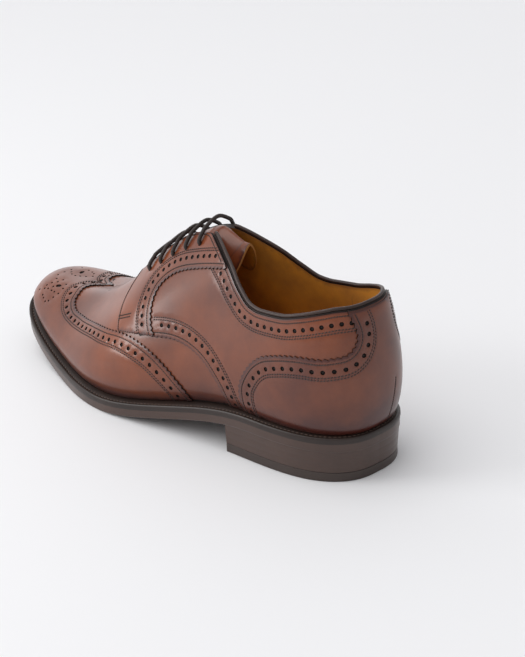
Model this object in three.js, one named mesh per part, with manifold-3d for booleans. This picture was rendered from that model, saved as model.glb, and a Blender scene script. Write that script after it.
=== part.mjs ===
// Left wing-tip derby shoe, empty, standing on its heel and forefoot.
// Millimetres, +Z up, toe towards +Y, outer side of the foot towards -X.
import * as THREE from 'three';
import { mergeVertices } from 'three/addons/utils/BufferGeometryUtils.js';
import Module from 'manifold-3d';

const wasm = await Module();
wasm.setup();

// Last: the foot shape that every leather piece is drawn over
const lastLength = 289;
const ballWidth = 100;
const instepHeight = 100;
const toeSpring = 21;
const rollOut = 4;
const rollUp = 7;

// Bottom of the shoe
const heelLift = 18.9;
const heelLength = 81;
const heelTaper = 0.5;
const topPieceThickness = 5.5;
const outsoleThickness = 5;
const edgeRound = 0.8;
const weltThickness = 3.4;
const weltOverlap = 5;
const weltLedge = 7.2;
const insoleThickness = 3;

// Leather, cord and the gap that meeting pieces keep
const seam = 0.3;
const wallThickness = 2;
const overlayThickness = 1;
const hem = 0.8;
const tongueThickness = 1.8;
const tongueGap = 0.35;
const tongueDrop = 13;
const tonguePinch = 0.35;
const beadDiameter = 2.4;
const beadGap = 0.7;
const laceDiameter = 2.5;
const laceArch = 2;

// Grid of the last's surface and of the cords
const gridColumns = 60;
const gridRows = 13;
const cordSides = 8;
const barSteps = 10;
const beadSteps = 48;

const featherLift = outsoleThickness + weltThickness + 2 * seam;
const table = (columns, rows) =>
  rows.map((row) => Object.fromEntries(columns.map((name, i) => [name, row[i]])));

// Half sections of the last, from the heel's centre to the toe's. along and ridgeAlong are shares
// of lastLength. lateral, medial, girthOut and crestOut are shares of ballWidth. The In values are
// shares of the way from the sole's edge to the ridge. The Up values are shares of instepHeight,
// from the sole's edge, and ridgeUp from the tread.
const sections = table(
  ['along', 'lateral', 'medial', 'girthOut', 'girthUp', 'shoulderIn', 'shoulderUp',
    'crownIn', 'crownUp', 'ridgeAlong', 'ridgeUp', 'crestOut'],
  [
    [0.000, 0.000, 0.000, 0.062, 0.300, 0.00, 0.580, 0.13, 0.880, 0.170, 1.240, 0.10],
    [0.006, 0.152, 0.178, 0.062, 0.300, 0.00, 0.580, 0.13, 0.880, 0.170, 1.240, 0.10],
    [0.058, 0.290, 0.312, 0.062, 0.300, 0.00, 0.580, 0.14, 0.880, 0.180, 1.240, 0.10],
    [0.150, 0.338, 0.330, 0.050, 0.280, 0.02, 0.540, 0.16, 0.860, 0.210, 1.240, 0.09],
    [0.252, 0.342, 0.280, 0.045, 0.260, 0.06, 0.510, 0.22, 0.830, 0.270, 1.220, 0.07],
    [0.356, 0.358, 0.208, 0.045, 0.250, 0.11, 0.510, 0.33, 0.810, 0.360, 1.170, 0.06],
    [0.460, 0.418, 0.208, 0.045, 0.220, 0.15, 0.490, 0.44, 0.790, 0.455, 1.060, 0.07],
    [0.563, 0.497, 0.300, 0.050, 0.180, 0.13, 0.420, 0.48, 0.680, 0.545, 0.875, 0.09],
    [0.660, 0.488, 0.419, 0.048, 0.140, 0.12, 0.335, 0.49, 0.500, 0.625, 0.655, 0.11],
    [0.750, 0.405, 0.462, 0.042, 0.120, 0.11, 0.270, 0.48, 0.370, 0.700, 0.475, 0.15],
    [0.840, 0.330, 0.414, 0.034, 0.105, 0.09, 0.225, 0.43, 0.290, 0.760, 0.400, 0.17],
    [0.916, 0.256, 0.325, 0.028, 0.095, 0.06, 0.180, 0.36, 0.235, 0.800, 0.365, 0.18],
    [0.972, 0.168, 0.206, 0.024, 0.090, 0.04, 0.150, 0.30, 0.190, 0.825, 0.355, 0.18],
    [0.994, -0.034, 0.034, 0.022, 0.090, 0.04, 0.140, 0.28, 0.175, 0.835, 0.350, 0.18],
  ],
);
const ridgeShift = 0.045;
const ridgeShiftFrom = 0.6;
const ridgeShiftOver = 0.2;

// A place on the last is around, 0 at the heel, toeColumn at the toe and twice that back at the
// heel, and up, 0 at the sole's edge and 1 on the ridge. station is around folded onto one side.
const toeColumn = sections.length - 1;
const fullTurn = 2 * toeColumn;
const stationOf = (around) => {
  const turned = ((around % fullTurn) + fullTurn) % fullTurn;
  return Math.min(turned, fullTurn - turned);
};

// Collar and throat: how far up the leather goes at each station
const collarEdge = table(['station', 'up'], [
  [0.00, 0.620], [1.25, 0.618], [1.80, 0.604], [2.35, 0.583], [2.85, 0.568], [3.40, 0.572],
  [3.70, 0.588], [4.10, 0.655], [4.45, 0.729], [4.90, 0.804], [5.15, 0.844], [5.45, 0.889],
  [5.90, 0.912], [6.30, 0.920], [6.65, 0.915], [7.00, 0.899], [7.35, 0.879], [7.60, 0.870],
  [7.72, 1.100],
]);
const collarFront = 5.45;

// Front edges of the quarter, the facing and the heel counter, and the wing's back edge
const quarterEdge = table(['up', 'station'], [
  [0.000, 4.20], [0.065, 4.25], [0.136, 4.35], [0.216, 4.55], [0.281, 4.80], [0.337, 5.10],
  [0.387, 5.45], [0.422, 5.90], [0.437, 6.20], [0.460, 6.65], [0.488, 7.15], [0.543, 7.30],
  [0.603, 7.40], [0.683, 7.50], [0.739, 7.55], [0.809, 7.60], [1.000, 7.60],
]);
const facingBack = table(['up', 'station'], [
  [0.427, 6.15], [0.492, 6.30], [0.558, 6.40], [0.618, 6.45], [0.673, 6.45],
]);
const facingLow = table(['station', 'up'], [
  [4.40, 0.734], [5.90, 0.734], [6.15, 0.724], [6.30, 0.698], [6.45, 0.673],
]);
const counterEdge = table(['up', 'station'], [
  [0.000, 3.75], [0.186, 3.80], [0.246, 3.70], [0.307, 3.55], [0.357, 3.30], [0.382, 2.95],
  [0.392, 2.35], [0.400, 1.50], [0.407, 1.15], [0.437, 0.90], [0.482, 0.75], [0.528, 0.75],
  [0.573, 0.85], [0.630, 0.98],
]);
// On the medial side the counter's back arm lies this much farther from the heel's middle
const counterTurn = 1.1;
const wingEdge = table(['up', 'station'], [
  [0.000, 5.20], [0.050, 5.25], [0.196, 5.60], [0.307, 6.00], [0.372, 6.30], [0.447, 6.80],
  [0.487, 7.20], [0.510, 7.60], [0.543, 8.30], [0.573, 9.10], [0.623, 9.65], [0.698, 10.10],
  [0.829, 10.50], [0.900, 11.00], [0.950, 11.20], [1.000, 10.50],
]);

// Width of the bottom past the last at each station, as shares of weltLedge
const ledgeShare = table(['station', 'lateral', 'medial'], [
  [0.0, 0.639, 0.639], [2.0, 0.847, 0.778], [4.0, 1.056, 0.861], [5.5, 1.361, 0.972],
  [7.0, 1.194, 1.000], [9.0, 1.000, 1.000], [13.0, 0.972, 0.972],
]);

// Tongue: from under the vamp to its tip, and the width that it keeps
const tongueTip = 4.72;
const tongueTipRound = 0.75;
const tongueRoot = 8.3;
const tongueSide = 0.71;
const tongueDropFrom = 5.7;

// Laces: their eyelets, and where each bar rises out of them, up past the eyelet and in radii
const laceStations = [5.6, 5.98, 6.34, 6.7, 7.05];
const laceUp = 0.83;
const laceRise = table(['past', 'radii'], [[0.004, 1.6], [0.045, 2.6]]);

function smooth(share) {
  const t = THREE.MathUtils.clamp(share, 0, 1);
  return t * t * (3 - 2 * t);
}

// Value of a table's column at a key, smooth and without overshoot between its rows
function lookUp(rows, key, value, at) {
  if (at <= rows[0][key]) return rows[0][value];
  const last = rows[rows.length - 1];
  if (at >= last[key]) return last[value];
  const i = rows.findIndex((row) => row[key] > at) - 1;
  const slope = (k) => (rows[k + 1][value] - rows[k][value]) / (rows[k + 1][key] - rows[k][key]);
  const tangent = (k) => {
    if (k === 0) return slope(0);
    if (k === rows.length - 1) return slope(k - 1);
    const before = slope(k - 1);
    const after = slope(k);
    return before * after <= 0 ? 0 : (2 * before * after) / (before + after);
  };
  const width = rows[i + 1][key] - rows[i][key];
  const t = (at - rows[i][key]) / width;
  const t2 = t * t;
  const t3 = t2 * t;
  return (2 * t3 - 3 * t2 + 1) * rows[i][value] + (t3 - 2 * t2 + t) * width * tangent(i)
    + (3 * t2 - 2 * t3) * rows[i + 1][value] + (t3 - t2) * width * tangent(i + 1);
}

// Height of the sole's edge over the floor: flat tread, toe spring, arch and heel
const treadFrom = 0.62;
const treadTo = 0.70;
const seatTo = 0.20;
const springPower = 1.9;
function soleHeight(y) {
  const t = y / lastLength;
  const spring = Math.max(0, (t - treadTo) / (1 - treadTo)) ** springPower;
  return toeSpring * spring + heelLift * smooth((treadFrom - t) / (treadFrom - seatTo));
}
const featherHeight = (y) => soleHeight(y) + featherLift;

// Control points of one half section
function halfSection(row, side) {
  const x = row.lateral < 0 ? row.medial * ballWidth
    : (side < 0 ? -row.lateral : row.medial) * ballWidth;
  const foot = new THREE.Vector2(x, row.along * lastLength);
  const shift = THREE.MathUtils.clamp((row.along - ridgeShiftFrom) / ridgeShiftOver, 0, 1);
  const ridge = new THREE.Vector2(ridgeShift * ballWidth * shift, row.ridgeAlong * lastLength);
  const reach = foot.distanceTo(ridge);
  const out = foot.clone().sub(ridge).normalize();
  const base = featherHeight(foot.y);
  const top = featherLift + row.ridgeUp * instepHeight;
  const place = (distance, height) => {
    const flat = ridge.clone().addScaledVector(out, distance);
    return new THREE.Vector3(flat.x, flat.y, height);
  };
  return [
    place(reach, base),
    place(reach + rollOut, base + rollUp),
    place(reach + row.girthOut * ballWidth, base + row.girthUp * instepHeight),
    place(reach * (1 - row.shoulderIn), base + row.shoulderUp * instepHeight),
    place(reach * (1 - row.crownIn), base + row.crownUp * instepHeight),
    place(row.crestOut * ballWidth, top),
    place(0, top),
  ];
}

const net = [
  ...sections.map((row) => halfSection(row, -1)),
  ...sections.slice(1, -1).reverse().map((row) => halfSection(row, 1)),
];

function roundWeights(t) {
  const s = 1 - t;
  return [s ** 3, 3 * t ** 3 - 6 * t ** 2 + 4, -3 * t ** 3 + 3 * t ** 2 + 3 * t + 1, t ** 3]
    .map((weight) => weight / 6);
}

// Weights of a clamped cubic curve over the half section's control points
const sectionPoints = net[0].length;
const sectionKnots = [0, 0, 0,
  ...Array.from({ length: sectionPoints - 2 }, (_, i) => i / (sectionPoints - 3)), 1, 1, 1];
function sectionWeights(up) {
  const v = THREE.MathUtils.clamp(up, 0, 1 - 1e-9);
  let weights = sectionKnots.slice(0, -1).map((knot, i) => (v >= knot && v < sectionKnots[i + 1] ? 1 : 0));
  for (let degree = 1; degree <= 3; degree += 1) {
    weights = weights.slice(0, -1).map((weight, i) => {
      const before = sectionKnots[i + degree] - sectionKnots[i];
      const after = sectionKnots[i + degree + 1] - sectionKnots[i + 1];
      const left = before > 0 ? ((v - sectionKnots[i]) / before) * weight : 0;
      const right = after > 0 ? ((sectionKnots[i + degree + 1] - v) / after) * weights[i + 1] : 0;
      return left + right;
    });
  }
  return weights;
}

function lastPoint(around, up) {
  const turned = ((around % fullTurn) + fullTurn) % fullTurn;
  const column = Math.floor(turned);
  const across = sectionWeights(up);
  const point = new THREE.Vector3();
  roundWeights(turned - column).forEach((weight, k) => {
    const section = net[(column + k - 1 + fullTurn) % fullTurn];
    section.forEach((control, i) => point.addScaledVector(control, weight * across[i]));
  });
  return point;
}

// The ridge ends in a point at the toe and the heel, so a normal is measured a little below it
const nudge = 0.004;
function faceNormal(around, up) {
  const low = Math.max(0, up - nudge);
  const high = Math.min(1, up + nudge);
  const level = Math.min(up, 1 - nudge);
  const along = lastPoint(around + nudge, level).sub(lastPoint(around - nudge, level));
  const rise = lastPoint(around, high).sub(lastPoint(around, low));
  return rise.cross(along).normalize();
}

// Outward direction, level at the sole's edge so that every layer ends on the welt
const levelUpTo = 0.08;
function outward(around, up) {
  const direction = faceNormal(around, up);
  if (up > 1 - nudge) direction.add(faceNormal(fullTurn - around, up));
  direction.z *= smooth(up / levelUpTo);
  return direction.normalize();
}

function wallPoint(around, up, out) {
  const base = lastPoint(around, up);
  const edge = lastPoint(around, 0);
  const point = base.clone().addScaledVector(outward(around, up), out);
  const drift = featherHeight(edge.y) - edge.z + featherHeight(point.y) - featherHeight(base.y);
  point.z += drift * (1 - smooth(up / levelUpTo));
  return point;
}

// Sheet of triangles over the whole last, with the ridge shared by both sides
function lastSheet() {
  const places = [];
  const index = (column, row) => {
    if (row < gridRows) return column * gridRows + row;
    const folded = Math.min(column, gridColumns - column);
    return gridColumns * gridRows + folded;
  };
  const step = fullTurn / gridColumns;
  for (let column = 0; column < gridColumns; column += 1) {
    for (let row = 0; row < gridRows; row += 1) {
      places.push({ around: column * step, up: row / gridRows });
    }
  }
  for (let column = 0; column <= gridColumns / 2; column += 1) {
    places.push({ around: column * step, up: 1 });
  }
  const triangles = [];
  for (let column = 0; column < gridColumns; column += 1) {
    const next = (column + 1) % gridColumns;
    for (let row = 0; row < gridRows; row += 1) {
      const corners = [index(column, row), index(column, row + 1), index(next, row + 1), index(next, row)];
      triangles.push([corners[0], corners[1], corners[2]], [corners[0], corners[2], corners[3]]);
    }
  }
  return { places, triangles: triangles.filter(([a, b, c]) => a !== b && b !== c && a !== c) };
}

// Place between two others, across the heel's seam and from either side of the ridge
function between(from, to, share) {
  const start = from.up === 1 ? nearest(from.around, to.around) : from.around;
  const end = to.up === 1 ? nearest(to.around, start) : to.around;
  const turn = Math.round((start - end) / fullTurn) * fullTurn;
  return {
    around: start + (end + turn - start) * share,
    up: from.up + (to.up - from.up) * share,
  };
}
function nearest(ridgeAround, other) {
  const choices = [ridgeAround, fullTurn - ridgeAround];
  const gap = (value) => Math.abs(value - other) % fullTurn;
  return gap(choices[0]) < gap(choices[1]) ? choices[0] : choices[1];
}

// Part of a sheet where keep is positive, cut along its zero line
const cutMargin = 0.03;
function cutSheet(sheet, keep) {
  const places = [...sheet.places];
  const values = places.map((place) => keep(place.around, place.up));
  const cuts = new Map();
  const cut = (a, b) => {
    const name = a < b ? `${a},${b}` : `${b},${a}`;
    if (!cuts.has(name)) {
      let [inside, outside] = values[a] >= 0 ? [a, b] : [b, a];
      let low = 0;
      let high = 1;
      for (let turn = 0; turn < 16; turn += 1) {
        const middle = (low + high) / 2;
        const place = between(places[inside], places[outside], middle);
        if (keep(place.around, place.up) >= 0) low = middle;
        else high = middle;
      }
      const share = THREE.MathUtils.clamp(low, cutMargin, 1 - cutMargin);
      cuts.set(name, places.push(between(places[inside], places[outside], share)) - 1);
    }
    return cuts.get(name);
  };
  const triangles = [];
  for (const triangle of sheet.triangles) {
    const outline = [];
    triangle.forEach((a, k) => {
      const b = triangle[(k + 1) % 3];
      if (values[a] >= 0) outline.push(a);
      if (values[a] >= 0 !== values[b] >= 0) outline.push(cut(a, b));
    });
    for (let k = 2; k < outline.length; k += 1) {
      triangles.push([outline[0], outline[k - 1], outline[k]]);
    }
  }
  return { places, triangles };
}

function geometryOf(points, triangles) {
  const geometry = new THREE.BufferGeometry();
  const flat = points.flatMap((point) => [point.x, point.y, point.z]);
  geometry.setAttribute('position', new THREE.Float32BufferAttribute(flat, 3));
  geometry.setIndex(triangles.flat());
  return geometry;
}

// Closed shell over a sheet, between two distances from the last
function shell(sheet, inner, outer, place = wallPoint) {
  const used = [...new Set(sheet.triangles.flat())];
  const order = new Map(used.map((place, i) => [place, i]));
  const count = used.length;
  const layerPoints = (out) => used.map((i) => place(sheet.places[i].around, sheet.places[i].up, out));
  const faces = sheet.triangles.map((triangle) => triangle.map((i) => order.get(i)));
  const edges = new Set(faces.flatMap(([a, b, c]) => [`${a},${b}`, `${b},${c}`, `${c},${a}`]));
  const triangles = [];
  for (const [a, b, c] of faces) {
    triangles.push([a, b, c], [count + a, count + c, count + b]);
  }
  for (const edge of edges) {
    const [a, b] = edge.split(',').map(Number);
    if (!edges.has(`${b},${a}`)) {
      triangles.push([a, count + a, count + b], [a, count + b, b]);
    }
  }
  return geometryOf([...layerPoints(outer), ...layerPoints(inner)], triangles);
}

function toManifold(geometry) {
  const bare = geometry.clone();
  bare.deleteAttribute('normal');
  bare.deleteAttribute('uv');
  const merged = mergeVertices(bare, 1e-4);
  return new wasm.Manifold(new wasm.Mesh({
    numProp: 3,
    vertProperties: new Float32Array(merged.attributes.position.array),
    triVerts: new Uint32Array(merged.index.array),
  }));
}

function toGeometry(solid) {
  const mesh = solid.getMesh();
  const geometry = new THREE.BufferGeometry();
  geometry.setAttribute('position', new THREE.Float32BufferAttribute(mesh.vertProperties, 3));
  geometry.setIndex([...mesh.triVerts]);
  return geometry;
}

// Bottom pieces: points a given distance outside the last's sole edge
function edgePoint(around, out, height) {
  const foot = lastPoint(around, 0);
  const ahead = lastPoint(around + nudge, 0);
  const normal = new THREE.Vector2(foot.y - ahead.y, ahead.x - foot.x).normalize();
  const x = foot.x + normal.x * out;
  const y = foot.y + normal.y * out;
  return new THREE.Vector3(x, y, height(y));
}
function soleOut(around) {
  const side = onLateral(around) > 0 ? 'lateral' : 'medial';
  return weltLedge * lookUp(ledgeShare, 'station', side, stationOf(around));
}

const roundTheFoot = Array.from({ length: gridColumns }, (_, i) => (i * fullTurn) / gridColumns);

function joinRings(rings, count) {
  const triangles = [];
  for (let ring = 0; ring + 1 < rings; ring += 1) {
    for (let i = 0; i < count; i += 1) {
      const next = (i + 1) % count;
      const low = ring * count;
      const high = low + count;
      triangles.push([low + i, high + i, high + next], [low + i, high + next, low + next]);
    }
  }
  return triangles;
}

// Flat cap across a ring, strip by strip from heel to toe
function strips(count, start, upwards) {
  const triangles = [];
  for (let left = 0; left + 1 < count - left; left += 1) {
    const right = (count - left) % count;
    const leftNext = left + 1;
    const rightNext = count - left - 1;
    if (leftNext !== rightNext) triangles.push([left, leftNext, rightNext]);
    if (left !== right) triangles.push([left, rightNext, right]);
  }
  const placed = triangles.map((triangle) => triangle.map((i) => start + i));
  return upwards ? placed.map(([a, b, c]) => [a, c, b]) : placed;
}

// Solid plate through rings of { out, height }, from its lowest ring to its highest
function plate(rings, arounds = roundTheFoot) {
  const count = arounds.length;
  const points = rings.flatMap(({ out, height }) => arounds.map((around) => (
    edgePoint(around, out(around), height))));
  const top = (rings.length - 1) * count;
  return geometryOf(points, [
    ...joinRings(rings.length, count),
    ...strips(count, 0, false),
    ...strips(count, top, true),
  ]);
}

// Hoop whose profile of { out, height } closes on itself
function hoop(profile) {
  const count = roundTheFoot.length;
  const points = profile.flatMap(({ out, height }) => roundTheFoot.map((around) => (
    edgePoint(around, out(around), height))));
  const rings = joinRings(profile.length, count);
  const low = (profile.length - 1) * count;
  for (let i = 0; i < count; i += 1) {
    const next = (i + 1) % count;
    rings.push([low + i, i, next], [low + i, next, low + next]);
  }
  return geometryOf(points, rings);
}

const above = (lift) => (y) => soleHeight(y) + lift;
const fixed = (value) => () => value;

function outsole() {
  return plate([
    { out: (around) => soleOut(around) - edgeRound, height: above(0) },
    { out: soleOut, height: above(edgeRound) },
    { out: soleOut, height: above(outsoleThickness) },
  ]);
}

function welt() {
  const low = above(outsoleThickness + seam);
  const high = above(outsoleThickness + seam + weltThickness);
  const middle = above(outsoleThickness + seam + weltThickness / 2);
  return hoop([
    { out: fixed(-weltOverlap), height: low },
    { out: soleOut, height: low },
    { out: (around) => soleOut(around) + edgeRound / 2, height: middle },
    { out: soleOut, height: high },
    { out: fixed(-weltOverlap), height: high },
  ]);
}

// Insole: its lower part fills the hoop of the welt, and its upper part fills the upper
function insole() {
  const bed = fixed(-weltOverlap - seam);
  const rim = fixed(-wallThickness - seam);
  return plate([
    { out: bed, height: above(outsoleThickness + seam) },
    { out: bed, height: above(featherLift) },
    { out: rim, height: above(featherLift) },
    { out: rim, height: above(featherLift + insoleThickness) },
  ]);
}

// Stations of the heel's outline, from its back to the breast on both sides
const heelColumns = 14;
function heelArounds() {
  const back = edgePoint(0, soleOut(0), soleHeight).y;
  const breast = (sign) => {
    let low = 0;
    let high = toeColumn / 2;
    for (let turn = 0; turn < 24; turn += 1) {
      const middle = (low + high) / 2;
      if (edgePoint(sign * middle, soleOut(sign * middle), soleHeight).y < back + heelLength) low = middle;
      else high = middle;
    }
    return low;
  };
  const lateral = breast(1);
  const medial = breast(-1);
  const shares = Array.from({ length: heelColumns }, (_, i) => (i + 1) / heelColumns);
  return [
    0,
    ...shares.map((share) => share * lateral),
    ...[...shares].reverse().map((share) => fullTurn - share * medial),
  ];
}

function heelStack() {
  const taper = (around) => soleOut(around) - edgeRound - heelTaper;
  return plate([
    { out: taper, height: fixed(topPieceThickness + seam) },
    { out: (around) => soleOut(around) - edgeRound / 2, height: (y) => soleHeight(y) - seam },
  ], heelArounds());
}

function heelTopPiece() {
  const out = (around) => soleOut(around) - edgeRound - heelTaper;
  return plate([
    { out: (around) => out(around) - edgeRound / 2, height: fixed(0) },
    { out, height: fixed(edgeRound) },
    { out, height: fixed(topPieceThickness) },
  ], heelArounds());
}

const onLateral = (around) => (((around % fullTurn) + fullTurn) % fullTurn < toeColumn ? 1 : -1);

// Leather regions: each is positive inside its outline
const belowCollar = (around, up) => lookUp(collarEdge, 'station', 'up', stationOf(around)) - up;
const inQuarter = (around, up) => lookUp(quarterEdge, 'up', 'station', up) - stationOf(around);
function inCounter(around, up) {
  const front = counterEdge[0].station;
  const station = stationOf(around);
  const turned = onLateral(around) > 0 ? station : (station - counterTurn) * (front / (front - counterTurn));
  return lookUp(counterEdge, 'up', 'station', up) - turned;
}
const inWing = (around, up) => stationOf(around) - lookUp(wingEdge, 'up', 'station', up);
function inFacing(around, up) {
  const station = stationOf(around);
  return Math.max(
    station - lookUp(facingBack, 'up', 'station', up),
    (up - lookUp(facingLow, 'station', 'up', station)) * toeColumn,
  );
}
// Share of a half section that a hem of leather takes
const girth = lastPoint(0, 0).distanceTo(lastPoint(0, 0.5)) * 2;
const hemShare = hem / girth;

const foot = lastSheet();
const leather = cutSheet(foot, belowCollar);
const quarterSheet = cutSheet(
  cutSheet(cutSheet(leather, (around, up) => belowCollar(around, up) - hemShare), inQuarter),
  (around, up) => up - hemShare,
);

// Upper: vamp and lining in one wall, and the quarters a step outside it
function upper() {
  const vamp = toManifold(shell(leather, -wallThickness, 0));
  const quarters = toManifold(shell(quarterSheet, -wallThickness / 2, overlayThickness));
  return toGeometry(vamp.add(quarters));
}

const overlayOver = (sheet, under) => shell(sheet, under + seam, under + seam + overlayThickness);
const wingCap = () => overlayOver(cutSheet(leather, inWing), 0);
const counterSheet = cutSheet(
  cutSheet(leather, inCounter),
  (around, up) => belowCollar(around, up) - 2 * hemShare,
);
const counter = () => overlayOver(counterSheet, overlayThickness);
function facing(side) {
  const band = cutSheet(cutSheet(quarterSheet, inFacing), (around, up) => (
    side * onLateral(around) * Math.min(1, 2 - up)));
  return overlayOver(band, overlayThickness);
}

// Tongue: under the vamp and facings, and past them into the collar
function tongue() {
  const side = (around, up) => up - tongueSide;
  const tip = (around, up) => {
    const across = (1 - up) / (1 - tongueSide);
    return stationOf(around) - tongueTip - tongueTipRound * (1 - Math.sqrt(Math.max(0, 1 - across ** 4)));
  };
  const root = (around) => tongueRoot - stationOf(around);
  const sheet = cutSheet(cutSheet(cutSheet(foot, side), tip), root);
  const place = (around, up, out) => {
    const share = smooth((tongueDropFrom - stationOf(around)) / (tongueDropFrom - tongueTip));
    const point = wallPoint(around, up, out);
    point.x -= (point.x - wallPoint(around, 1, out).x) * tonguePinch * share;
    point.z -= tongueDrop * share;
    return point;
  };
  const top = -wallThickness - tongueGap;
  return shell(sheet, top - tongueThickness, top, place);
}

function cord(points, diameter, steps) {
  const corners = Array.from({ length: cordSides }, (_, i) => {
    const angle = (i / cordSides) * 2 * Math.PI;
    return new THREE.Vector2(Math.cos(angle), Math.sin(angle)).multiplyScalar(diameter / 2);
  });
  const geometry = new THREE.ExtrudeGeometry(new THREE.Shape(corners), {
    steps,
    extrudePath: new THREE.CatmullRomCurve3(points),
    curveSegments: 1,
  });
  geometry.deleteAttribute('normal');
  geometry.deleteAttribute('uv');
  return mergeVertices(geometry, 1e-4);
}

// Bead on the collar's edge, from one facing round the heel to the other
function collarBead() {
  const points = [];
  const end = collarFront - hemShare * toeColumn;
  for (let i = 0; i <= beadSteps / 2; i += 1) {
    const around = -end + (2 * end * i) / (beadSteps / 2);
    const place = (offset) => {
      const station = around + offset;
      return wallPoint(station, lookUp(collarEdge, 'station', 'up', Math.abs(station)), -wallThickness / 2);
    };
    const tangent = place(nudge).sub(place(-nudge)).normalize();
    const normal = outward(around, lookUp(collarEdge, 'station', 'up', Math.abs(around)));
    const lift = tangent.cross(normal).normalize();
    if (lift.z < 0) lift.negate();
    points.push(place(0).addScaledVector(lift, beadDiameter / 2 + beadGap));
  }
  return cord(points, beadDiameter, beadSteps);
}

// Lace bar from one facing's eyelet over the throat to the other's
function laceBar(station) {
  const clear = 2 * overlayThickness + 2 * seam;
  const radius = laceDiameter / 2;
  const stops = table(['up', 'out'], [
    [laceUp, clear + seam],
    ...laceRise.map(({ past, radii }) => [laceUp + past, clear + radii * radius]),
  ]);
  const side = (sign) => stops.map(({ up, out }) => (
    wallPoint(sign > 0 ? station : fullTurn - station, up, out)));
  const crest = wallPoint(station, 1, clear + laceArch);
  return cord([...side(1), crest, ...side(-1).reverse()], laceDiameter, barSteps);
}

const finishes = {
  calf: { color: 0x6b3420, roughness: 0.35, metalness: 0 },
  lining: { color: 0xa87838, roughness: 0.7, metalness: 0 },
  edge: { color: 0x33241c, roughness: 0.4, metalness: 0 },
  rubber: { color: 0x1e1a18, roughness: 0.8, metalness: 0 },
  cord: { color: 0x2a1a14, roughness: 0.9, metalness: 0 },
};
const shoe = new THREE.Group();
function add(name, geometry, finish) {
  geometry.computeVertexNormals();
  const mesh = new THREE.Mesh(geometry, new THREE.MeshStandardMaterial(finishes[finish]));
  mesh.name = name;
  shoe.add(mesh);
}

add('outsole', outsole(), 'edge');
add('welt', welt(), 'edge');
add('heel_stack', heelStack(), 'edge');
add('heel_top_piece', heelTopPiece(), 'rubber');
add('insole', insole(), 'lining');
add('upper', upper(), 'calf');
add('wing_cap', wingCap(), 'calf');
add('counter', counter(), 'calf');
add('facing_lateral', facing(1), 'calf');
add('facing_medial', facing(-1), 'calf');
add('tongue', tongue(), 'calf');
add('collar_bead', collarBead(), 'cord');
laceStations.forEach((station, i) => add(`lace_bar_${i + 1}`, laceBar(station), 'cord'));

// Origin under the middle of the shoe, on the floor
const bounds = new THREE.Box3().setFromObject(shoe);
const middle = bounds.getCenter(new THREE.Vector3());
shoe.position.set(-middle.x, -middle.y, 0);

export default shoe;
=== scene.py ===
"""Looks of a left wing-tip derby shoe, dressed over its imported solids.

Sizes in the classes are millimetres. Meshes are metres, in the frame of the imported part:
toe towards +Y, outer side of the foot towards -X, floor at z = 0.
"""
import logging
import math
from dataclasses import dataclass, field
from enum import Enum

import bpy
import numpy as np
from mathutils import Matrix, Vector
from mathutils.geometry import delaunay_2d_cdt


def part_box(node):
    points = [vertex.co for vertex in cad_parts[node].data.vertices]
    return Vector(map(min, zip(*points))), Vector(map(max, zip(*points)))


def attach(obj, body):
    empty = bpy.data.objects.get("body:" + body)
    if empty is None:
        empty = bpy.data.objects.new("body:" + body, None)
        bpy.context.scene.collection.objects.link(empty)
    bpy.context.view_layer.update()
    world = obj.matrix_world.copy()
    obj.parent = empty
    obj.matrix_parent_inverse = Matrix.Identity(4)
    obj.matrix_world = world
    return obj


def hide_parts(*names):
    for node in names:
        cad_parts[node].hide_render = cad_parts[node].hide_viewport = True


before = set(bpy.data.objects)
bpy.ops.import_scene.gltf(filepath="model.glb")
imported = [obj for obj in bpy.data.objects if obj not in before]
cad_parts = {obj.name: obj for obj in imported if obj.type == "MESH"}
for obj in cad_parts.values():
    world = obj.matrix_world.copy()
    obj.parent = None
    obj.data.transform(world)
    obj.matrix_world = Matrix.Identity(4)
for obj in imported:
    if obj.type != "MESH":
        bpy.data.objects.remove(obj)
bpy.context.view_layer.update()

MM = 0.001
log = logging.getLogger("shoe")
Array = np.ndarray
Knots = tuple[tuple[float, float], ...]


class Side(Enum):
    """Side of the foot."""

    LATERAL = 1
    MEDIAL = -1


def smooth(share: Array) -> Array:
    """Return the soft step of a share from 0 to 1."""
    t = np.clip(share, 0.0, 1.0)
    return t * t * (3 - 2 * t)


def unit(vectors: Array) -> Array:
    """Return rows scaled to length 1."""
    return vectors / np.maximum(np.linalg.norm(vectors, axis=-1, keepdims=True), 1e-12)


class Curve:
    """Smooth value through (key, value) rows, without overshoot."""

    def __init__(self, rows: Knots) -> None:
        """Take the rows, in order of their key."""
        self.key, self.value = np.array(rows, float).T
        slope = np.diff(self.value) / np.diff(self.key)
        self.tangent = np.zeros(len(self.key))
        self.tangent[0], self.tangent[-1] = slope[0], slope[-1]
        before, after = slope[:-1], slope[1:]
        same = before * after > 0
        total = np.where(same, before + after, 1.0)
        self.tangent[1:-1] = np.where(same, 2 * before * after / total, 0.0)

    def __call__(self, at: Array) -> Array:
        """Return the value at each key."""
        at = np.clip(at, self.key[0], self.key[-1])
        i = np.clip(np.searchsorted(self.key, at, "right") - 1, 0, len(self.key) - 2)
        width = self.key[i + 1] - self.key[i]
        t = (at - self.key[i]) / width
        t2, t3 = t * t, t * t * t
        return (
            (2 * t3 - 3 * t2 + 1) * self.value[i]
            + (t3 - 2 * t2 + t) * width * self.tangent[i]
            + (3 * t2 - 2 * t3) * self.value[i + 1]
            + (t3 - t2) * width * self.tangent[i + 1]
        )


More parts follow.
